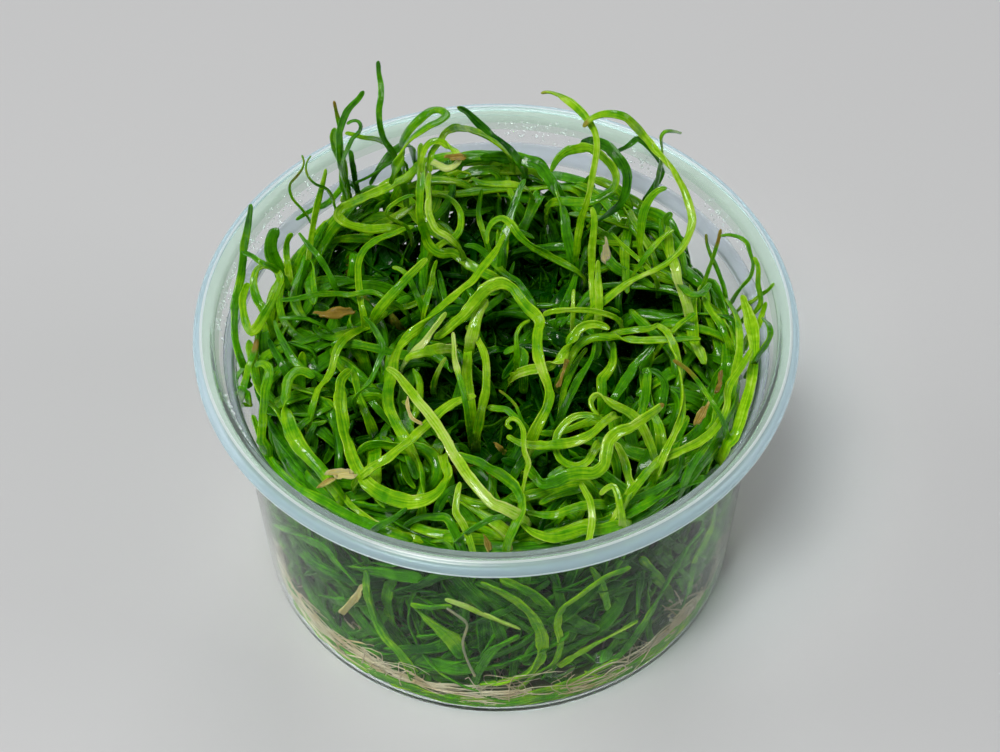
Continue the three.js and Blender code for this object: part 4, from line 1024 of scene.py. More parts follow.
# Leaves between the free ones: the same thick, wet ribbons, lower or shorter, which run under the free leaves
# or lie on them as short ends. Each row also says whether it runs over or under what it meets.
LEAVES_BETWEEN = [
    ("left_branch", 0.9, [47, 45, 43], "over",
     [(243, 252), (252, 256), (260, 262), (271, 267)]),
    ("left_tongue", 1.9, [48, 46, 43], "under",
     [(278, 228), (272, 237), (271, 252), (277, 265)]),
    ("low_cross", 1.0, [44, 44, 43], "under",
     [(327, 222), (321, 233), (315, 244), (310, 255), (305, 267), (302, 277)]),
    ("high_cross", 0.85, [45, 46, 44], "over",
     [(299, 233), (309, 246), (318, 256), (326, 268), (332, 280)]),
    ("left_diagonal", 0.75, [45, 47, 47], "under",
     [(296, 220), (305, 214), (314, 209), (326, 204), (335, 196), (341, 188)]),
    ("front_arch", 1.3, [41, 43, 42], "under",
     [(403, 526), (416, 519), (432, 517), (446, 518), (452, 527), (457, 538)]),
    ("front_blade", 1.3, [41, 43, 42], "under",
     [(527, 512), (541, 515), (554, 515), (566, 511), (579, 507), (592, 505)]),
    ("front_ribbon", 1.0, [43, 42, 42], "under",
     [(334, 486), (343, 495), (350, 504), (359, 512), (371, 521), (383, 528), (398, 534), (416, 538)]),
    ("back_band", 1.1, [47, 48, 48], "under",
     [(471, 178), (482, 183), (494, 184), (508, 184)]),
    ("crumpled_back", 1.9, [46, 47, 46], "under",
     [(480, 157), (503, 157), (526, 160), (540, 166), (549, 178)]),
    ("small_left_post", 1.2, [46, 44, 43], "under",
     [(292, 233), (287, 242), (286, 253), (287, 262)]),
    ("thin_arch", 0.7, [47, 48, 47], "over",
     [(415, 195), (405, 197), (396, 202), (389, 208), (387, 215), (391, 219), (403, 224)]),
    ("short_dip", 1.1, [44, 43], "under",
     [(392, 267), (399, 269), (405, 273), (409, 279), (414, 289)]),
    ("prong_one", 1.0, [46, 44, 43], "under",
     [(437, 260), (433, 272), (432, 282), (428, 295)]),
    ("prong_two", 1.1, [46, 44, 43], "under",
     [(438, 270), (441, 282), (444, 295)]),
    ("ring_tail", 1.1, [47, 46, 45, 43], "under",
     [(464, 246), (473, 246), (480, 249), (488, 257), (497, 266), (506, 275), (517, 281), (526, 293)]),
    ("back_post", 1.1, [49, 46, 44], "under",
     [(482, 189), (480, 200), (479, 212), (480, 222), (482, 228)]),
    ("lime_side", 1.2, [47, 45, 44], "over",
     [(598, 260), (598, 275), (599, 292), (599, 298)]),
    ("lime_lean", 1.1, [46, 45, 44], "under",
     [(587, 247), (584, 256), (577, 273), (573, 286), (568, 297)]),
    ("pale_stub", 0.7, [46, 45], "over",
     [(574, 289), (573, 297), (573, 305)]),
    ("back_twig", 0.7, [47, 46, 46], "over",
     [(611, 233), (617, 239), (626, 248), (634, 255), (639, 259)]),
    ("right_twig", 0.85, [48, 47, 46], "over",
     [(674, 230), (667, 234), (658, 242), (652, 249), (646, 256)]),
    ("dark_bend", 1.5, [47, 47, 45], "under",
     [(672, 213), (665, 220), (667, 228)]),
    ("right_arch", 0.6, [44, 46, 47, 46, 44], "over",
     [(720, 236), (729, 235), (740, 238), (747, 243), (750, 253), (753, 264), (750, 277), (744, 284)]),
    ("right_thin", 0.7, [46, 45, 44], "over",
     [(754, 257), (758, 267), (758, 284), (760, 294)]),
    ("rim_bit", 0.7, [45, 44], "over",
     [(774, 283), (768, 290)]),
    ("right_edge_top", 1.0, [44, 43, 42], "under",
     [(766, 302), (763, 312), (758, 326)]),
    ("right_edge_hook", 0.85, [44, 44, 42], "over",
     [(763, 318), (769, 326), (770, 336), (766, 344), (762, 350)]),
    ("pale_fork", 1.5, [47, 46, 45], "under",
     [(487, 299), (481, 308), (477, 317), (474, 328)]),
    ("pale_blade", 1.1, [48, 47, 46, 45], "over",
     [(446, 312), (439, 322), (430, 334), (424, 343), (417, 349)]),
    ("lumpy", 1.4, [47, 47, 46], "over",
     [(406, 362), (408, 357), (422, 353), (437, 349), (448, 348)]),
    ("lumpy_lobe", 0.9, [46.5, 46], "under",
     [(446, 357), (443, 362)]),
    ("pale_tip", 0.95, [48, 47, 46, 45, 44], "over",
     [(453, 332), (454, 343), (455, 357), (458, 373), (462, 387), (464, 397)]),
    ("twin_bright", 1.25, [46, 46, 45, 44, 43], "under",
     [(466, 326), (473, 333), (479, 342), (484, 353), (486, 366), (486, 382), (485, 395), (482, 408)]),
    ("twin_broad", 1.6, [46, 45, 44, 43], "under",
     [(468, 332), (469, 343), (468, 356), (467, 373), (469, 389)]),
    ("yellow_edge", 0.95, [46, 47, 46, 45, 44], "over",
     [(364, 317), (372, 326), (378, 336), (382, 345), (381, 356), (377, 367), (374, 375), (369, 383),
      (364, 387)]),
    ("mid_rail", 0.95, [45, 45, 44], "under",
     [(383, 307), (394, 307), (405, 307), (415, 304), (422, 299)]),
    ("s_twin", 1.1, [46, 45, 45, 44, 43], "under",
     [(388, 312), (378, 319), (365, 328), (352, 334), (343, 341), (337, 350), (334, 360), (332, 370),
      (327, 379), (319, 389), (314, 402)]),
    ("fold_neighbour", 1.4, [45, 44, 43], "under",
     [(353, 368), (355, 379), (358, 395), (363, 407)]),
    ("left_fall", 1.0, [46, 45, 44, 42], "under",
     [(257, 339), (253, 356), (249, 366), (246, 379), (242, 393), (239, 404)]),
    ("left_dark", 1.1, [44, 43], "under",
     [(244, 369), (237, 377), (235, 387)]),
    ("left_drop", 1.1, [45, 44, 43], "under",
     [(274, 320), (278, 332), (284, 344), (290, 355), (297, 364), (306, 370), (315, 375)]),
    ("left_drop_dark", 1.25, [43, 42], "under",
     [(269, 339), (274, 350), (282, 364)]),
    ("left_bar", 0.7, [46, 46, 45], "over",
     [(279, 318), (293, 318), (307, 319), (315, 322)]),
    ("left_dark_arc", 1.25, [44, 43, 43], "under",
     [(313, 325), (320, 334), (332, 337), (343, 334)]),
    ("c_rung", 1.0, [44, 44, 43], "under",
     [(332, 407), (320, 412), (312, 417), (304, 423)]),
    ("fold_inner", 1.8, [44, 45, 45, 44, 43], "under",
     [(357, 453), (368, 446), (383, 444), (396, 446), (410, 452), (418, 462), (422, 473), (422, 486)]),
    ("yellow_post", 1.0, [47, 46, 45, 44], "over",
     [(460, 482), (458, 490), (456, 504), (456, 513), (462, 522), (466, 530), (470, 542)]),
    ("pale_front", 0.85, [45, 44, 43], "over",
     [(407, 508), (402, 512), (392, 519), (384, 523)]),
    ("pale_front_two", 0.85, [45, 44, 43], "over",
     [(505, 516), (494, 518), (483, 523), (474, 528)]),
    ("elbow", 1.5, [47, 47, 46, 45, 44], "under",
     [(615, 442), (620, 449), (626, 463), (629, 477), (632, 487), (627, 498), (622, 508), (615, 517)]),
    ("front_hook", 1.1, [45, 46, 45], "over",
     [(600, 495), (606, 489), (613, 486), (617, 493), (619, 502)]),
    ("front_dark", 1.3, [43, 43, 42], "under",
     [(539, 504), (550, 498), (564, 493), (577, 489)]),
    ("curl_rung", 1.0, [45, 44], "under",
     [(548, 477), (563, 467)]),
    ("rail_under", 1.1, [45, 44, 43], "under",
     [(695, 313), (687, 319), (679, 325), (672, 332)]),
    ("rail_over", 1.0, [44, 45, 44], "under",
     [(660, 324), (649, 329), (635, 330), (620, 332)]),
    ("mid_bar", 0.85, [45, 46, 46, 45], "over",
     [(543, 315), (550, 312), (566, 310), (584, 310), (595, 311), (604, 313)]),
    ("post_left", 1.4, [44, 44, 43, 42], "under",
     [(613, 342), (613, 354), (612, 364), (607, 373), (602, 379), (602, 387)]),
    ("long_slant", 1.25, [46, 45, 44, 43, 42], "under",
     [(654, 345), (646, 355), (638, 362), (630, 373), (623, 384), (616, 395)]),
    ("slant_two", 1.1, [45, 44, 43, 42], "under",
     [(595, 342), (592, 356), (586, 367), (577, 382), (570, 395), (564, 408)]),
    ("slant_three", 1.0, [45, 44, 43, 42], "under",
     [(587, 348), (577, 362), (570, 375), (564, 390), (562, 406)]),
    ("arch_side", 1.0, [46, 45, 44], "under",
     [(530, 320), (522, 325), (517, 334), (517, 343)]),
    ("arch_lobe", 1.25, [44, 45, 44], "under",
     [(504, 354), (515, 348), (524, 354), (524, 364)]),
    ("hollow_bar", 1.2, [43, 44, 43], "under",
     [(487, 407), (499, 409), (506, 410), (513, 416)]),
    ("hollow_thread", 0.5, [45, 44, 43], "over",
     [(499, 390), (508, 397), (516, 406), (519, 413)]),
    ("right_fall", 1.25, [44, 44, 43], "under",
     [(703, 297), (708, 307), (715, 317), (722, 326), (726, 334)]),
    ("right_fall_two", 1.4, [43, 42], "under",
     [(725, 343), (726, 357)]),
    ("right_stub", 1.4, [44, 43, 42], "under",
     [(722, 367), (715, 378), (712, 389)]),
    ("right_knot", 1.0, [45, 46, 46, 45], "over",
     [(710, 283), (706, 289), (699, 294), (690, 294), (684, 288)]),
    ("tan_blade", 0.8, [46, 45, 44, 43, 42], "over",
     [(673, 360), (683, 366), (693, 375), (702, 387), (710, 399), (718, 412)]),
    ("post_inner", 1.4, [45, 45, 44, 43], "under",
     [(642, 373), (647, 370), (647, 384), (645, 400), (643, 408)]),
    ("post_dark", 1.4, [44, 44, 43], "under",
     [(649, 369), (659, 375), (665, 384), (663, 397)]),
    ("stem_hook", 0.6, [61, 62, 61, 59, 56], "over",
     [(347, 124), (352, 121), (358, 121), (361, 126), (359, 132), (353, 138), (349, 146), (345, 155)]),
    ("stem_dark", 0.9, [55, 54, 52], "under",
     [(350, 150), (352, 160), (354, 172)]),
    ("olive_thread", 0.4, [56, 54, 50, 47, 45], "over",
     [(302, 155), (304, 162), (302, 169), (297, 176), (290, 185), (292, 197), (302, 209)]),
    ("olive_thread_two", 0.4, [55, 52, 50, 47], "over",
     [(311, 156), (307, 162), (306, 170), (309, 178), (315, 184), (323, 187)]),
    ("tan_band", 1.1, [50, 50, 50], "under",
     [(449, 158), (460, 157), (480, 157), (495, 157)]),
    ("back_dark", 1.0, [50, 52, 53], "under",
     [(370, 185), (378, 170), (387, 158), (393, 152)]),
    ("bright_thread", 0.5, [50, 51, 52], "over",
     [(355, 183), (368, 177), (378, 171), (383, 167)]),
    ("dark_twist", 1.0, [49, 51, 51, 50], "under",
     [(617, 151), (625, 148), (632, 143), (637, 139), (645, 143), (652, 150)]),
    ("rim_hook", 0.6, [55, 55, 54, 52, 49], "over",
     [(681, 133), (673, 131), (665, 132), (661, 138), (662, 147)]),
]


def joined(parts):
    """Vertices, faces and point values of several bodies as one."""
    offsets = np.cumsum([0] + [len(part[0]) for part in parts[:-1]])
    points = np.vstack([part[0] for part in parts])
    faces = np.vstack([part[1] + offset for part, offset in zip(parts, offsets)])
    values = {key: np.concatenate([np.ravel(part[2][key]) for part in parts]) for key in parts[0][2]}
    return points, faces, values


def add_joined(name, parts, finish):
    """Many small leaves as one piece, which stands for a part of the leaf mass."""
    points, faces, values = joined(parts)
    add_piece(name, points, faces, [finish], ["leaf_tangle"], values)


between = []
for name, width, heights, lies, trace in LEAVES_BETWEEN:
    depths = lay_leaf(trace, width, heights, lies == "under")
    between.append(make_traced_leaf(random, name, width, trace, depths))
    laid_lines.append(between[-1][3])
add_joined("leaves_between", between, fresh_leaf)

# Dead bits: a bleached leaf base and a dry stalk lie on the leaves, and a few torn flakes between them. They
# are the plant's own old leaves, papery and brown to ivory. Name, width, heights, trace, tone and how torn.
STRAW = (0.37, 0.24, 0.035)
IVORY = (0.80, 0.72, 0.24)
DEAD_BROWN = (0.12, 0.10, 0.01)
DEAD_GREY = (0.42, 0.41, 0.27)
RUST = (0.25, 0.13, 0.04)
dry_leaf = leaf_finish("dry leaf", (DEAD_BROWN, STRAW, IVORY, DEAD_GREY, RUST), 0.25)
DEAD_BITS = [
    ("base_flake", 0.8, [43, 43], [(319, 487), (326, 483), (334, 478)], 0.6, 1.0),
    ("bleached_base", 1.6, [44, 44], [(331, 475), (342, 474), (354, 474)], 0.94, 0.3),
    ("dry_stalk", 1.2, [46, 46], [(317, 314), (328, 314), (340, 312), (353, 311)], 0.4, 0.6),
    ("band_end", 1.1, [48, 48], [(448, 158), (456, 157), (464, 157)], 0.45, 0.6),
    ("grey_flake", 1.6, [46, 44], [(605, 242), (606, 251), (606, 261)], 1.2, 1.0),
    ("brown_strip", 0.6, [42, 41], [(567, 360), (563, 373), (558, 387)], 0.3, 1.0),
    ("brown_stub", 1.3, [42, 41], [(706, 405), (701, 416), (696, 424)], 0.6, 1.0),
    ("right_strip", 0.6, [42, 41], [(721, 371), (720, 382), (716, 393)], 0.3, 1.0),
    ("deep_flake", 0.8, [38, 38], [(495, 444), (500, 448), (505, 453)], 0.3, 1.0),
    ("front_flake", 0.6, [41, 40], [(505, 537), (509, 541), (511, 551)], 0.9, 1.0),
    ("front_patch", 0.9, [41, 40], [(484, 537), (487, 543), (489, 551)], 0.4, 1.0),
    ("pale_stalk", 0.5, [45, 44, 43], [(407, 398), (408, 408), (412, 418), (422, 424)], 0.9, 0.5),
]
dead_parts = []
for name, width, heights, trace, tone, torn in DEAD_BITS:
    depths = lay_leaf(trace, width, heights)
    points, faces, values, line = make_traced_leaf(
        random, name, width, trace, depths, hidden_steps=0, torn=torn)
    values["tone"] = np.full(len(points), tone)
    laid_lines.append(line)
    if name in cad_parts:
        add_piece(f"{name}_bit", points, faces, [dry_leaf], [name], values)
    else:
        dead_parts.append((points, faces, values))
add_joined("dry_flakes", dead_parts, dry_leaf)

# Leaves against the wall: fresh leaves that are pressed flat to the inside of the cup at the front, and show
# through it. Each row has name, width, distance from the wall and trace.
WALL_LEAVES = [
    ("wall_hairpin", 1.3, 0.9,
     [(286, 548), (279, 525), (300, 534), (324, 546), (340, 564), (354, 578)]),
    ("wall_sweep", 1.5, 0.9,
     [(367, 570), (369, 590), (375, 612), (386, 634), (402, 654), (415, 674)]),
    ("wall_arc", 1.7, 0.9,
     [(481, 581), (507, 594), (530, 612), (541, 634), (540, 655), (527, 672), (506, 680), (486, 682)]),
    ("wall_ribbon", 1.1, 0.9,
     [(702, 527), (685, 548), (667, 580), (651, 608), (632, 638), (612, 659), (596, 674)]),
    ("wall_curl", 1.2, 0.9,
     [(519, 634), (494, 648), (480, 668), (474, 684)]),
    ("wall_long_left", 1.3, 1.8,
     [(298, 552), (302, 569), (315, 596), (334, 621), (352, 645)]),
    ("wall_slant", 1.5, 3.0,
     [(350, 566), (367, 569), (392, 573), (417, 576)]),
    ("wall_yellow", 0.9, 1.4,
     [(445, 598), (463, 604), (481, 612), (498, 619), (515, 626)]),
    ("wall_bit", 1.1, 1.6,
     [(411, 603), (428, 606), (445, 605)]),
    ("wall_broad", 2.4, 2.6,
     [(415, 606), (424, 614), (442, 628), (455, 640), (463, 652)]),
    ("wall_right_leaf", 1.7, 2.0,
     [(500, 577), (518, 585), (534, 594), (551, 609)]),
    ("wall_hook", 1.1, 1.2,
     [(630, 566), (605, 576), (580, 594), (562, 607), (557, 623), (560, 641), (555, 659), (536, 672),
      (518, 688)]),
    ("wall_twig", 1.2, 2.4,
     [(591, 566), (601, 585), (607, 605)]),
    ("wall_sweep_right", 0.9, 1.6,
     [(637, 619), (620, 629), (600, 640), (580, 651), (562, 662)]),
    ("wall_far_right", 1.2, 1.4,
     [(714, 502), (712, 517), (703, 540), (694, 556)]),
    ("wall_foot_right", 0.7, 0.8,
     [(584, 670), (603, 676), (622, 672), (645, 659), (664, 644)]),
    ("wall_deep_left", 1.6, 4.0,
     [(400, 570), (388, 592), (392, 618), (410, 642)]),
    ("wall_deep_right", 1.5, 4.0,
     [(640, 556), (655, 575), (668, 592), (672, 612)]),
]


def lay_on_wall(trace, off_wall):
    """Depths along a trace where its sight lines first come a distance inside the wall, or near the floor."""
    least_height = 1.2
    length = trace_curve(trace, [0.0])[1]
    shares = np.linspace(0, 1, max(4, int(length / PIXELS_PER_MM / LEAF_STEP)) + 1)
    spots = trace_curve(trace, shares)[0]
    depth = np.linspace(CAMERA_DISTANCE - 2 * RIM_OUTER_RADIUS, CAMERA_DISTANCE + RIM_OUTER_RADIUS, 1600)
    points = at_depth(spots[:, :1], spots[:, 1:], np.broadcast_to(depth, (len(spots), len(depth))))
    inside = np.hypot(points[..., 0], points[..., 1]) < inner_radius(points[..., 2]) - off_wall
    floor_depth = (FLOOR + least_height - camera_place[2]) / sight_line(*spots.T)[:, 2]
    return np.minimum(depth[np.argmax(inside, axis=1)], floor_depth)


def toward_wall(lines):
    """Wanted broad-side direction beside the wall: level, away from the cup's axis."""
    return unit(lines * np.array([1.0, 1.0, 0.0]))


wall_parts = []
for name, width, off_wall, trace in WALL_LEAVES:
    depths = lay_on_wall(trace, off_wall)
    points, faces, values, line = make_traced_leaf(random, name, width, trace, depths, toward_wall)
    fine = np.linspace(0, 1, 80)
    for spot, depth in zip(trace_curve(trace, fine)[0], smooth_between(depths, fine)):
        pixels = pixels_within(*spot, width / 2 * PIXELS_PER_MM)
        farthest[pixels] = np.maximum(farthest[pixels], depth)
    laid_lines.append(line)
    if f"leaf_{name}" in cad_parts:
        add_piece(f"{name}_leaf", points, faces, [fresh_leaf], [f"leaf_{name}"], values)
    else:
        wall_parts.append((points, faces, values))
add_joined("leaves_at_wall", wall_parts, fresh_leaf)

# Dead bits against the wall: a cut stalk and a thin grey root, both dry and papery, which lie loose behind
# the front of the cup. Name, width, distance from the wall, trace and tone.
WALL_DEAD = [
    ("cut_stalk", 1.1, 1.1, [(364, 583), (357, 596), (349, 605), (342, 612)], 0.9),
    ("grey_root", 0.32, 0.6, [(447, 607), (457, 614), (467, 623), (463, 641), (467, 658), (475, 675)], 1.4),
]
dead_wall_parts = []
for name, width, off_wall, trace, tone in WALL_DEAD:
    depths = lay_on_wall(trace, off_wall)
    points, faces, values, line = make_traced_leaf(random, name, width, trace, depths, toward_wall, 0)
    values["tone"] = np.full(len(points), tone)
    laid_lines.append(line)
    dead_wall_parts.append((points, faces, values))
add_joined("dead_bits_at_wall", dead_wall_parts, dry_leaf)

# Feeding gel: three clear, soft lumps of what the plant was raised on, left in the curve at the foot of the
# wall. Each has its place in the photograph and its half sizes inward, sideways and up.
GEL_LUMPS = [((559, 668), (1.0, 2.4, 1.2)), ((602, 655), (0.8, 1.6, 0.9)), ((656, 630), (1.2, 3.6, 2.6))]
GEL_GAP = 0.4
GEL_RINGS = 15
GEL_SIDES = 28
middles = []
for (column, row), half_sizes in GEL_LUMPS:
    depths = lay_on_wall([(column - 4, row), (column + 4, row)], half_sizes[0] + GEL_GAP)
    middles.append(at_depth(column, row, np.mean(depths)))
middles = np.array(middles)
axes = wall_axes(-toward_wall(middles)) * np.array([half_sizes for _, half_sizes in GEL_LUMPS])[..., None]
points, faces = lumps(middles, axes, GEL_RINGS, GEL_SIDES)
gel = plastic("clear gel", (0.93, 0.97, 0.93, 1.0), 1.0, 0.03, 0.02, 1.4)
add_piece("gel_lumps", points, faces, [gel], ["leaf_tangle"])

# Leaf mass: several hundred leaves fill the cup. Each plantlet stands on the floor, its leaves grow up
# until the lid turns them over, and they push each other aside. Loose leaves lie higher up, and runners
# climb the wall.
PLANTLETS = 92
LEAVES_EACH = 5
LOOSE_LEAVES = 190
WALL_RUNNERS = 120
GROWTH_STEPS = 52
GROUND = 3.4
PLANTED_RADIUS = 32
LOOSE_RADIUS = 33
RUNNER_RADIUS = 32.6
GOLDEN_ANGLE = 2.39996
WALL_LIFT = 4.5
# Where a growing leaf is bent: how far off the wall, under the mass's top, below the lid and above the floor
WALL_FEELS = 5.5
TOP_FEELS = 4.5
LID_FEELS = 27
FLOOR_FEELS = 4
# How leaves part: their spacing, and the least gaps to the wall and to what the photograph shows over them
LEAF_SPREAD = 0.72
WALL_SPACING = 0.6
LEAF_CLEARANCE = 0.35
OVER_FORM = 0.6
PAIR_REACH = 1.25
PUSH = 1.3
STIFFNESS = 0.22
ROUNDS = 70
TANGLE_WIDTH = 2.0
TANGLE_SIDES = 8
TANGLE_RINGS = 62
TANGLE_PARTS = 6
# Tones: painted shade, nought deep down and from a height on up to that of the top; less of it at the wall; a
# few dead ones
FULL_SHADE_BELOW = 32.5
SHADE_FADE_SPAN = 9.5
LIT_TOP_TONE = 0.62
WALL_LIT_TONE = 0.24
DEAD_SHARE = 0.014
DEAD_TOP = 37.0
DEAD_TONE = 0.7


def grow_leaves(random, start, heading, lengths, curl, lift):
    """Lines of growing leaves: the heading turns at a rate that drifts at random, and is bent away from the
    wall and from the lid's place as the leaf comes near them."""
    place, heading, turn = start.copy(), unit(heading), random.normal(0, curl, start.shape)
    step = lengths[:, None] / (GROWTH_STEPS - 1)
    lines = [place.copy()]
    for _ in range(GROWTH_STEPS - 1):
        turn = turn * np.exp(-step / 9.0) + random.normal(0, 1, turn.shape) * curl * np.sqrt(step / 5.0)
        bent = 0.5 + 1.6 * np.clip((place[:, 2:] - LID_FEELS) / 10, 0, 1)
        heading = heading + np.cross(turn, heading) * step * bent
        reach = np.hypot(place[:, 0], place[:, 1])
        out = np.stack([place[:, 0], place[:, 1], 0 * reach], 1) / np.maximum(reach, TINY)[:, None]
        near_wall = np.clip((reach - inner_radius(place[:, 2]) + WALL_FEELS) / 4.5, 0, 1)
        outward = np.maximum(np.sum(heading * out, 1), 0)
        bounce = 1 + 0.9 * np.clip((place[:, 2] - 24) / 8, 0, 1)
        heading -= out * (near_wall * outward * bounce)[:, None]
        over = place[:, 2] - tangle_top(place[:, 0], place[:, 1]) - lift
        near_top = np.clip((over + TOP_FEELS) / 4, 0, 1)
        heading[:, 2] -= near_top * np.maximum(heading[:, 2], 0) * 0.8
        near_floor = np.clip((GROUND + FLOOR_FEELS - place[:, 2]) / 4, 0, 1)
        heading[:, 2] -= near_floor * np.minimum(heading[:, 2], 0)
        heading = unit(heading)
        place = place + heading * step
        lines.append(place.copy())
    return np.stack(lines, 1)


def near_pairs(points, reach):
    """Pairs of points that lie in the same or in touching cells of the given size."""
    cell = np.floor((points + 60) / reach).astype(np.int64)
    size = 400
    key = (cell[:, 0] * size + cell[:, 1]) * size + cell[:, 2]
    order = np.argsort(key, kind="stable")
    ordered = key[order]
    steps = [(a, b, c) for a in (-1, 0, 1) for b in (-1, 0, 1) for c in (-1, 0, 1) if (a, b, c) >= (0, 0, 0)]
    firsts, seconds = [], []
    for a, b, c in steps:
        wanted = key + (a * size + b) * size + c
        start = np.searchsorted(ordered, wanted, "left")
        counts = np.searchsorted(ordered, wanted, "right") - start
        first = np.repeat(np.arange(len(points)), counts)
        skip = np.repeat(start - np.cumsum(counts) + counts, counts)
        second = order[skip + np.arange(counts.sum())]
        if (a, b, c) == (0, 0, 0):
            keep = first < second
            first, second = first[keep], second[keep]
        firsts.append(first)
        seconds.append(second)
    return np.concatenate(firsts), np.concatenate(seconds)


def settle(lines, fixed, lift, rounds):
    """Pushes leaves apart until they lie side by side: points closer than the spacing part along the line
    between them, then each leaf gets back its step lengths and its own bends, and all stay inside the cup and
    the mass."""
    count, steps = lines.shape[:2]
    moving = count * steps
    rest = np.linalg.norm(lines[:, 1] - lines[:, 0], axis=1)[:, None]
    bend = lines[:, :-2] + lines[:, 2:] - 2 * lines[:, 1:-1]
    leaf = np.concatenate([np.repeat(np.arange(count), steps), -1 - np.arange(len(fixed))])
    ring = np.concatenate([np.tile(np.arange(steps), count), np.zeros(len(fixed), int)])
    for turn in range(rounds):
        points = np.vstack([lines.reshape(-1, 3), fixed])
        if turn % 4 == 0:
            first, second = near_pairs(points, PAIR_REACH)
            own = (leaf[first] == leaf[second]) & (np.abs(ring[first] - ring[second]) < 4)
            keep = ~own & ((first < moving) | (second < moving))
            first, second = first[keep], second[keep]
        gap = points[second] - points[first]
        distance = np.linalg.norm(gap, axis=1)
        close = distance < LEAF_SPREAD
        a, b = first[close], second[close]
        part = gap[close] / np.maximum(distance[close], TINY)[:, None]
        push = part * (LEAF_SPREAD - distance[close])[:, None]
        half = np.where((a < moving) & (b < moving), 0.5, 1.0)[:, None]
        ends = np.concatenate([a, b])
        pushes = np.concatenate([-push * half, push * half])
        touches = np.maximum(np.bincount(ends, minlength=len(points)), 1)
        for axis in range(3):
            moved = np.bincount(ends, weights=pushes[:, axis], minlength=len(points)) / touches * PUSH
            lines[..., axis] += moved[:moving].reshape(count, steps)
        for parity in (0, 1, 0, 1):
            near, far = lines[:, parity:-1:2], lines[:, parity + 1::2]
            span = far - near
            size = np.linalg.norm(span, axis=-1, keepdims=True)
            shift = span * (0.5 * (size - rest[:, :, None]) / np.maximum(size, TINY))
            lines[:, parity:-1:2] += shift
            lines[:, parity + 1::2] -= shift
        lines[:, 1:-1] += STIFFNESS * (lines[:, :-2] + lines[:, 2:] - 2 * lines[:, 1:-1] - bend)
        reach = np.hypot(lines[..., 0], lines[..., 1])
        most = inner_radius(lines[..., 2]) - WALL_SPACING
        lines[..., :2] *= np.minimum(1, most / np.maximum(reach, TINY))[..., None]
        top = tangle_top(lines[..., 0], lines[..., 1]) + OVER_FORM + lift[:, None]
        lines[..., 2] -= 0.5 * np.maximum(lines[..., 2] - top, 0)
        depth, column, row = seen_at(lines)
        hidden = np.maximum(farthest[row.astype(int), column.astype(int)] + LEAF_CLEARANCE - depth, 0)
        lines -= toward_camera * (0.5 * hidden[..., None])
        lines[..., 2] = np.maximum(lines[..., 2], GROUND)
    return lines


def even_weights(rings, steps):
    """A matrix that turns the values at growth steps into values at rings, on Catmull-Rom cubics."""
    close = np.array([0, 0.004, 0.012, 0.025])
    shares = np.concatenate([close, np.linspace(0.04, 0.96, rings - 8), (1 - close)[::-1]])
    return np.stack([smooth_between(column, shares) for column in np.eye(steps)], 1)


# Dark hollows between the leaves: place in the photograph, radius in pixels, and the height that the mass
# sinks to there
HOLLOWS = [
    (493, 429, 20, 24), (450, 279, 13, 30), (534, 272, 12, 29), (552, 274, 10, 30), (496, 337, 12, 29),
    (377, 264, 14, 34), (437, 389, 13, 28), (521, 402, 12, 27), (628, 356, 12, 29), (481, 452, 12, 28),
    (656, 300, 11, 31), (405, 257, 10, 34), (408, 318, 10, 31), (698, 261, 10, 33), (575, 401, 10, 30),
    (500, 210, 10, 37), (472, 236, 10, 35), (339, 263, 11, 35), (344, 304, 10, 33), (589, 386, 10, 30),
    (390, 482, 10, 32), (544, 461, 10, 31),
]


def round_cup(reach, angle):
    """Level places at distances from the cup's axis and angles round it."""
    return np.stack([reach * np.cos(angle), reach * np.sin(angle)], 1)


rooted = PLANTLETS * LEAVES_EACH
total = rooted + LOOSE_LEAVES + WALL_RUNNERS
loose = slice(rooted, rooted + LOOSE_LEAVES)
runners = slice(total - WALL_RUNNERS, total)
plantlet_reach = PLANTED_RADIUS * np.sqrt((np.arange(PLANTLETS) + 0.5) / PLANTLETS)
plantlets = round_cup(plantlet_reach, np.arange(PLANTLETS) * GOLDEN_ANGLE)
start = np.empty((total, 3))
start[:rooted, :2] = np.repeat(plantlets, LEAVES_EACH, 0) + random.normal(0, 1.1, (rooted, 2))
start[:rooted, 2] = GROUND + random.uniform(0, 6, rooted)
loose_angle = random.uniform(0, 2 * np.pi, LOOSE_LEAVES)
start[loose, :2] = round_cup(LOOSE_RADIUS * random.uniform(0, 1, LOOSE_LEAVES) ** 0.4, loose_angle)
start[loose, 2] = random.uniform(17, 36, LOOSE_LEAVES)
runner_angle = (np.arange(WALL_RUNNERS) + random.uniform(0, 1, WALL_RUNNERS)) * 2 * np.pi / WALL_RUNNERS
start[runners, :2] = round_cup(RUNNER_RADIUS, runner_angle)
start[runners, 2] = GROUND + random.uniform(0, 14, WALL_RUNNERS)
heading = random.normal(0, 0.4, start.shape) + [0, 0, 1]
heading[loose] = random.normal(0, 1, (LOOSE_LEAVES, 3)) * [1, 1, 0.35] + [0, 0, 0.25]
lean = random.normal(0, 0.9, WALL_RUNNERS)
heading[runners, 0] = 0.35 * np.cos(runner_angle) - lean * np.sin(runner_angle)
heading[runners, 1] = 0.35 * np.sin(runner_angle) + lean * np.cos(runner_angle)
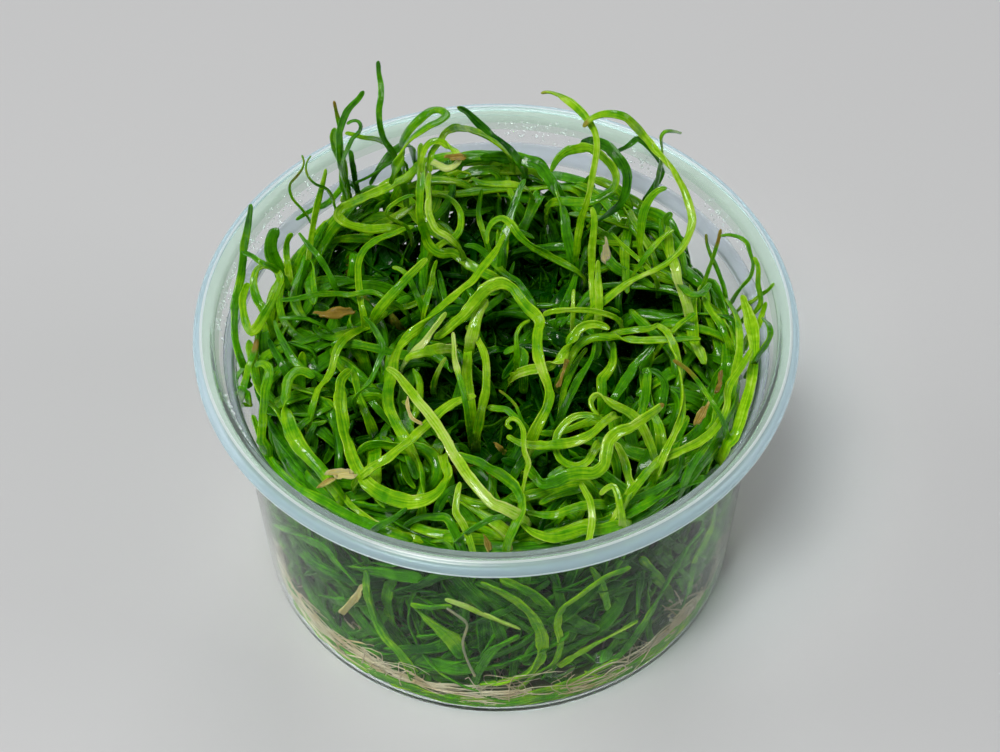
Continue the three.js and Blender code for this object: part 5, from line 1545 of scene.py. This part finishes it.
# Least and most length of each kind, and how much it curls
kinds = [(rooted, 38, 66, 0.05), (LOOSE_LEAVES, 22, 44, 0.075), (WALL_RUNNERS, 36, 58, 0.03)]
lengths = np.concatenate([random.uniform(least, most, count) for count, least, most, _ in kinds])
curl = np.concatenate([np.full((count, 1), bent) for count, _, _, bent in kinds])
lift = np.zeros(total)
lift[runners] = random.uniform(0, WALL_LIFT, WALL_RUNNERS)
lines = grow_leaves(random, start, heading, lengths, curl, lift)
for column, row, radius, height in HOLLOWS:
    pixels = pixels_within(column, row, radius)
    deep = (height - camera_place[2]) / sight_line(column, row)[2]
    farthest[pixels] = np.maximum(farthest[pixels], deep)
obstacles = np.vstack([line[::2] for line in laid_lines])
lines = settle(lines, obstacles, lift, ROUNDS)

lines = np.einsum("rs,nsk->nrk", even_weights(TANGLE_RINGS, GROWTH_STEPS), lines)
steps = np.linalg.norm(np.diff(lines, axis=1), axis=2)
distance = np.concatenate([np.zeros((len(lines), 1)), np.cumsum(steps, 1)], 1)
length = distance[:, -1:]
reach = np.hypot(lines[..., 0], lines[..., 1])
by_wall = np.clip((reach - inner_radius(lines[..., 2]) + 4.0) / 3.0, 0, 1)
by_top = np.clip((lines[..., 2] - tangle_top(lines[..., 0], lines[..., 1]) + 7.0) / 5.0, 0, 1)
wanted = by_wall[..., None] * toward_wall(lines) + by_top[..., None] * toward_viewer_and_up(lines)
roll = value_noise(random, distance, 10.0, 0.5)
along, normals = ribbon_normals(lines, wanted + 0.02, np.maximum(by_wall, by_top), roll)
widths = TANGLE_WIDTH * random.uniform(0.62, 1.25, (len(lines), 1))
rounding = end_rounding(distance, length, widths * 0.8)
bluntness = random.uniform(0.35, 0.85, (len(lines), 1))
taper = bluntness + (1 - bluntness) * np.clip((length - distance) / 7.0, 0, 1) ** 0.75
half_widths = widths / 2 * rounding * taper * (1 + value_noise(random, distance, *SWELL_DRIFT))
half_depths = BLADE_THICKNESS / 2 * end_thinning(rounding)
cupping = CUPPING + value_noise(random, distance, *CUPPING_DRIFT)
waves = np.stack([value_noise(random, distance, *EDGE_DRIFT) for _ in range(2)])
# Painted shade: the deeper a leaf lies under the top, the darker its tone; by the wall less so, as light
# comes in through the plastic
tone = LIT_TOP_TONE * np.clip((lines[..., 2] - FULL_SHADE_BELOW) / SHADE_FADE_SPAN, 0, 1) ** 1.5
tone = np.maximum(tone, WALL_LIT_TONE * by_wall) + random.normal(0, 0.12, (len(lines), 1)) * (1 - 0.5 * by_wall)
dead = random.random((len(lines), 1)) < DEAD_SHARE
dead &= lines[..., 2].max(1, keepdims=True) < DEAD_TOP
dead &= by_wall.mean(1, keepdims=True) < 0.2
dryness = np.where(dead, DEAD_TONE, 0.0) * np.clip(1.5 - distance / length * 1.2, 0, 1)
middle_angle = np.arctan2(lines[:, TANGLE_RINGS // 2 - 1, 1], lines[:, TANGLE_RINGS // 2 - 1, 0])
for number, chosen in enumerate(np.array_split(np.argsort(middle_angle), TANGLE_PARTS), 1):
    points, faces = leaf_bodies(lines[chosen], along[chosen], normals[chosen], half_widths[chosen],
                                half_depths[chosen], TANGLE_SIDES, cupping[chosen], waves[:, chosen])
    values = leaf_values(random, distance[chosen], TANGLE_SIDES, tone[chosen], dryness[chosen])
    add_piece(f"leaf_mass_{number}", points, faces, [fresh_leaf], ["leaf_tangle"], values)

# Foot leaves: thin, flat leaves along the curve at the foot of the wall, pressed there as the plant filled
# the cup. They are the same fresh leaf, and show as pale green strips by the roots.
FOOT_LEAVES = 76
FOOT_RINGS = 50
FOOT_HALF_DEPTH = 0.14
FOOT_CUPPING = 0.1


def beside_wall(turn, rise, off_wall):
    """Points at an angle round the cup, a way up the wall from the top of its foot's curve, or round that
    curve if it is below nought, and a distance inside the plastic. Also their directions toward the
    plastic."""
    size = BASE_CORNER - WALL - off_wall
    bend = np.clip(rise / size, -np.pi / 2, 0)
    height = FLOOR + BASE_CORNER - WALL + size * np.sin(bend) + np.maximum(rise, 0)
    curved = BASE_RADIUS - BASE_CORNER + size * np.cos(bend)
    reach = np.where(rise > 0, inner_radius(height) - off_wall, curved)
    outward = np.stack([np.cos(bend) * np.cos(turn), np.cos(bend) * np.sin(turn), np.sin(bend)], -1)
    return np.stack([reach * np.cos(turn), reach * np.sin(turn), height], -1), outward


each = (FOOT_LEAVES, 1)
distance = np.linspace(0, 1, FOOT_RINGS) * random.uniform(12, 34, each)
way = np.sign(random.normal(0, 1, each))
turn = random.uniform(0, 2 * np.pi, each) + way * distance / BASE_RADIUS
rise = random.uniform(-2.0, 0.9, each) + random.normal(0, 0.06, each) * distance
rise = rise + value_noise(random, distance, 8.0, 0.5)
lines, outward = beside_wall(turn, rise, random.uniform(0.35, 0.6, each))
roll = value_noise(random, distance, 6.0, 0.15)
along, normals = ribbon_normals(lines, outward, np.ones(rise.shape), roll)
rounding = end_rounding(distance, distance[:, -1:], 1.0)
half_widths = random.uniform(0.45, 0.85, each) * rounding
waves = np.stack([value_noise(random, distance, *EDGE_DRIFT) for _ in range(2)])
points, faces = leaf_bodies(lines, along, normals, half_widths, FOOT_HALF_DEPTH * end_thinning(rounding),
                            TANGLE_SIDES, np.full(rise.shape, FOOT_CUPPING), waves)
tone = np.broadcast_to(random.uniform(0.25, 0.75, each), rise.shape)
values = leaf_values(random, distance, TANGLE_SIDES, tone, np.zeros(rise.shape))
add_piece("foot_leaves", points, faces, [fresh_leaf], ["leaf_tangle"], values)

# Root mat: fine pale roots wind over the floor of the cup, and run in bunches along the foot of its wall,
# over a dull cake of older ones. They are white to cream, and thinner than a pencil line.
ROOT_COUNT = 260
ROOT_STEPS = 26
ROOT_SIDES = 5
ROOT_LEAST_RADIUS = 0.07
ROOT_MOST_RADIUS = 0.16
ROOT_TIP_SHARE = 0.45
ROOT_TO_WALL = 0.15
ROOT_FLOOR = FLOOR + 0.45
ROOT_BUNCHES = 44
ROOTS_EACH = 9
CAKE_TOP = 3.3
CREAM = (0.78, 0.70, 0.47, 1.0)
OLD_CREAM = (0.55, 0.42, 0.18, 1.0)


def root_finish(name, pale, dark, scale, roughness):
    """Root skin: pale and dark mixed by noise in object coordinates, with a fine fibrous bump."""
    finish, tree, shader = new_finish(name)
    place = add_node(tree, "TexCoord").outputs["Object"]
    patches = add_node(tree, "TexNoise", Vector=place, Scale=scale, Detail=5.0, Roughness=0.65).outputs[0]
    worn = add_node(tree, "MapRange", i0=patches, i1=0.42, i2=0.66).outputs[0]
    colour = add_node(tree, "Mix", {"data_type": "RGBA"}, i0=worn, i6=pale, i7=dark).outputs[2]
    fibres = add_node(tree, "TexNoise", Vector=place, Scale=2600.0, Detail=2.0).outputs[0]
    bump = add_node(tree, "Bump", Strength=0.6, Distance=0.0001, Height=fibres)
    feed(tree, shader, {"Base Color": colour, "Normal": bump.outputs[0], "Roughness": roughness})
    return finish


def wander(random, start, heading, step, turn):
    """Lines that run at an even step while their heading turns at a drifting random rate: x by its cosine, y
    by its sine."""
    drift = np.cumsum(random.normal(0, turn, (len(start), ROOT_STEPS)), 1) * 0.5
    angle = heading[:, None] + np.cumsum(drift, 1) * 0.35
    moves = step[:, None, None] * np.stack([np.cos(angle), np.sin(angle)], 2)
    return start[:, None] + np.cumsum(moves, 1)


def tubes(lines, radii, sides):
    """Round tubes about many lines, closed by flat ends: across times cosine plus up times sine."""
    along = unit(np.gradient(lines, axis=1))
    flat = unit(np.cross(along, [0.0, 0.0, 1.0]) + 1e-6)
    raised = np.cross(flat, along)
    angle = np.linspace(0, 2 * np.pi, sides, endpoint=False)[:, None]
    ring = np.cos(angle) * flat[:, :, None] + np.sin(angle) * raised[:, :, None]
    points = lines[:, :, None] + radii[..., None, None] * ring
    spot, walls = tube_walls(*lines.shape[:2], sides)
    return points.reshape(-1, 3), walls.tolist() + spot[:, 0].tolist() + spot[:, -1, ::-1].tolist()


angle = random.uniform(0, 2 * np.pi, ROOT_COUNT)
reach = (BASE_RADIUS - BASE_CORNER) * np.sqrt(random.uniform(0.3, 1.0, ROOT_COUNT))
heading = angle + np.pi / 2 * np.sign(random.normal(0, 1, ROOT_COUNT)) + random.normal(0, 0.6, ROOT_COUNT)
flat = wander(random, round_cup(reach, angle), heading, random.uniform(0.5, 1.1, ROOT_COUNT), 0.25)
base_height = random.uniform(CAKE_TOP - 0.4, CAKE_TOP + 2.6, (ROOT_COUNT, 1))
sway = value_noise(random, np.tile(np.arange(ROOT_STEPS) * 1.0, (ROOT_COUNT, 1)), 7.0, 0.8)
height = np.maximum(base_height + sway, ROOT_FLOOR)
reach = np.hypot(flat[..., 0], flat[..., 1])
over = reach - (inner_radius(height) - ROOT_MOST_RADIUS - ROOT_TO_WALL)
height = height + np.clip(over, 0, 6.0) * 0.8
most = inner_radius(height) - ROOT_MOST_RADIUS - ROOT_TO_WALL
floor_roots = np.concatenate([flat * np.minimum(1, most / reach)[..., None], height[..., None]], 2)

each = (ROOT_BUNCHES * ROOTS_EACH, 1)
run = np.linspace(0, 1, ROOT_STEPS) * random.uniform(5, 19, each)


def by_bunch(values):
    """One value for each bunch, given to all its roots."""
    return np.repeat(values, ROOTS_EACH)[:, None]


way = by_bunch(np.sign(random.normal(0, 1, ROOT_BUNCHES)))
turn = by_bunch(random.uniform(0, 2 * np.pi, ROOT_BUNCHES))
turn = turn + random.normal(0, 0.015, each) + way * run / BASE_RADIUS
rise = by_bunch(random.uniform(-1.4, 3.4, ROOT_BUNCHES)) + random.normal(0, 0.2, each)
climb = by_bunch(random.normal(-0.05, 0.16, ROOT_BUNCHES)) + random.normal(0, 0.08, each)
rise = rise + climb * run + value_noise(random, run, 4.0, 0.28)
foot_roots = beside_wall(turn, np.maximum(rise, -2.2), random.uniform(0.3, 0.95, each))[0]
lines = np.vstack([floor_roots, foot_roots])
taper = np.linspace(1.0, ROOT_TIP_SHARE, ROOT_STEPS)
radii = random.uniform(ROOT_LEAST_RADIUS, ROOT_MOST_RADIUS, (len(lines), 1)) * taper
points, faces = tubes(lines, radii, ROOT_SIDES)
pale_root = root_finish("pale root", CREAM, OLD_CREAM, 180.0, 0.5)
add_piece("root_fibres", points, faces, [pale_root], ["root_mat"])

# Root cake: the older roots and leaf bases under the fibres, grown together into one dull olive cake that
# fills the cup's floor from wall to wall. Its top is lumpy and its edge is rounded.
CAKE_CORNER = 0.7
CAKE_CROWN = 0.7
CAKE_STEPS = 40
CAKE_SEGMENTS = 120
CAKE_LUMP = 0.35
CAKE_FLANK = 0.65
HUMUS = (0.13, 0.13, 0.03, 1.0)
OLIVE = (0.12, 0.24, 0.03, 1.0)
shelf = np.linspace(1, 0, CAKE_STEPS)[:, None]
top = np.hstack([(BASE_RADIUS - BASE_CORNER + CAKE_CORNER) * shelf, CAKE_TOP - CAKE_CROWN * shelf**8])
corner = arc(BASE_RADIUS - BASE_CORNER, FLOOR + BASE_CORNER - WALL, CAKE_CORNER, -90, 0, 6)
points, faces = turned(np.vstack([[[0.0, corner[0, 1]]], corner, top]), CAKE_SEGMENTS)
bumps = np.sin(points[:, 0] * 1.7 + 2 * np.sin(points[:, 1] * 0.6)) * np.cos(points[:, 1] * 1.5)
points[:, 2] += np.where(points[:, 2] > CAKE_TOP - CAKE_FLANK, CAKE_LUMP * bumps, 0)
old_root = root_finish("old roots", OLIVE, HUMUS, 260.0, 0.75)
add_piece("root_cake", points, faces, [old_root], ["root_mat"])

# Floor: a plain pale table of painted board, which runs on far past the picture on all sides. It lies a hair
# under the cup's base, so that the two faces don't meet.
FLOOR_HALF = 1200.0
FLOOR_DROP = 0.05
floor_finish, floor_tree, floor_shader = new_finish("pale floor")
grain = add_node(floor_tree, "TexNoise", Scale=6.0, Detail=2.0)
floor_tone = add_node(floor_tree, "MapRange", i0=grain.outputs[0], i3=0.72, i4=0.76)
feed(floor_tree, floor_shader, {"Base Color": floor_tone.outputs[0], "Roughness": 0.6})
corners = np.array([(-1, -1, 0), (1, -1, 0), (1, 1, 0), (-1, 1, 0)]) * FLOOR_HALF * METRES
floor_mesh = bpy.data.meshes.new("floor")
floor_mesh.from_pydata(corners.tolist(), [], [(0, 1, 2, 3)])
floor_mesh.materials.append(floor_finish)
floor = bpy.data.objects.new("floor", floor_mesh)
floor.location.z = -FLOOR_DROP * METRES
bpy.context.collection.objects.link(floor)

# Light: studio soft boxes on stands, a strong one above the front and weaker ones at each side and behind, in
# a pale room. Each has its place in metres, the length of its side and its power in watts.
SOFT_BOXES = [
    ("key", (-0.18, -0.25, 0.75), 0.22, 3.4),
    ("left", (-0.7, 0.1, 0.35), 0.35, 1.0),
    ("right", (0.75, -0.1, 0.4), 0.35, 1.0),
    ("back", (0.1, 0.7, 0.45), 0.4, 1.3),
]
LIT_SPOT = np.array([0.0, 0.0, 0.04])
ROOM_COLOUR = (0.86, 0.89, 0.93, 1.0)
ROOM_STRENGTH = 0.09
for name, place, size, power in SOFT_BOXES:
    light = bpy.data.lights.new(name, "AREA")
    light.size = size
    light.energy = power
    lamp = bpy.data.objects.new(name, light)
    back = unit(place - LIT_SPOT)
    right = unit(np.cross([0.0, 0.0, 1.0], back) + [1e-6, 0, 0])
    lamp.matrix_world = standing(right, np.cross(back, right), back, place)
    bpy.context.collection.objects.link(lamp)
room = bpy.data.worlds.new("room")
room.use_nodes = True
feed(room.node_tree, room.node_tree.nodes["Background"], {"Color": ROOM_COLOUR, "Strength": ROOM_STRENGTH})
bpy.context.scene.world = room
bpy.context.scene.view_settings.view_transform = "Standard"
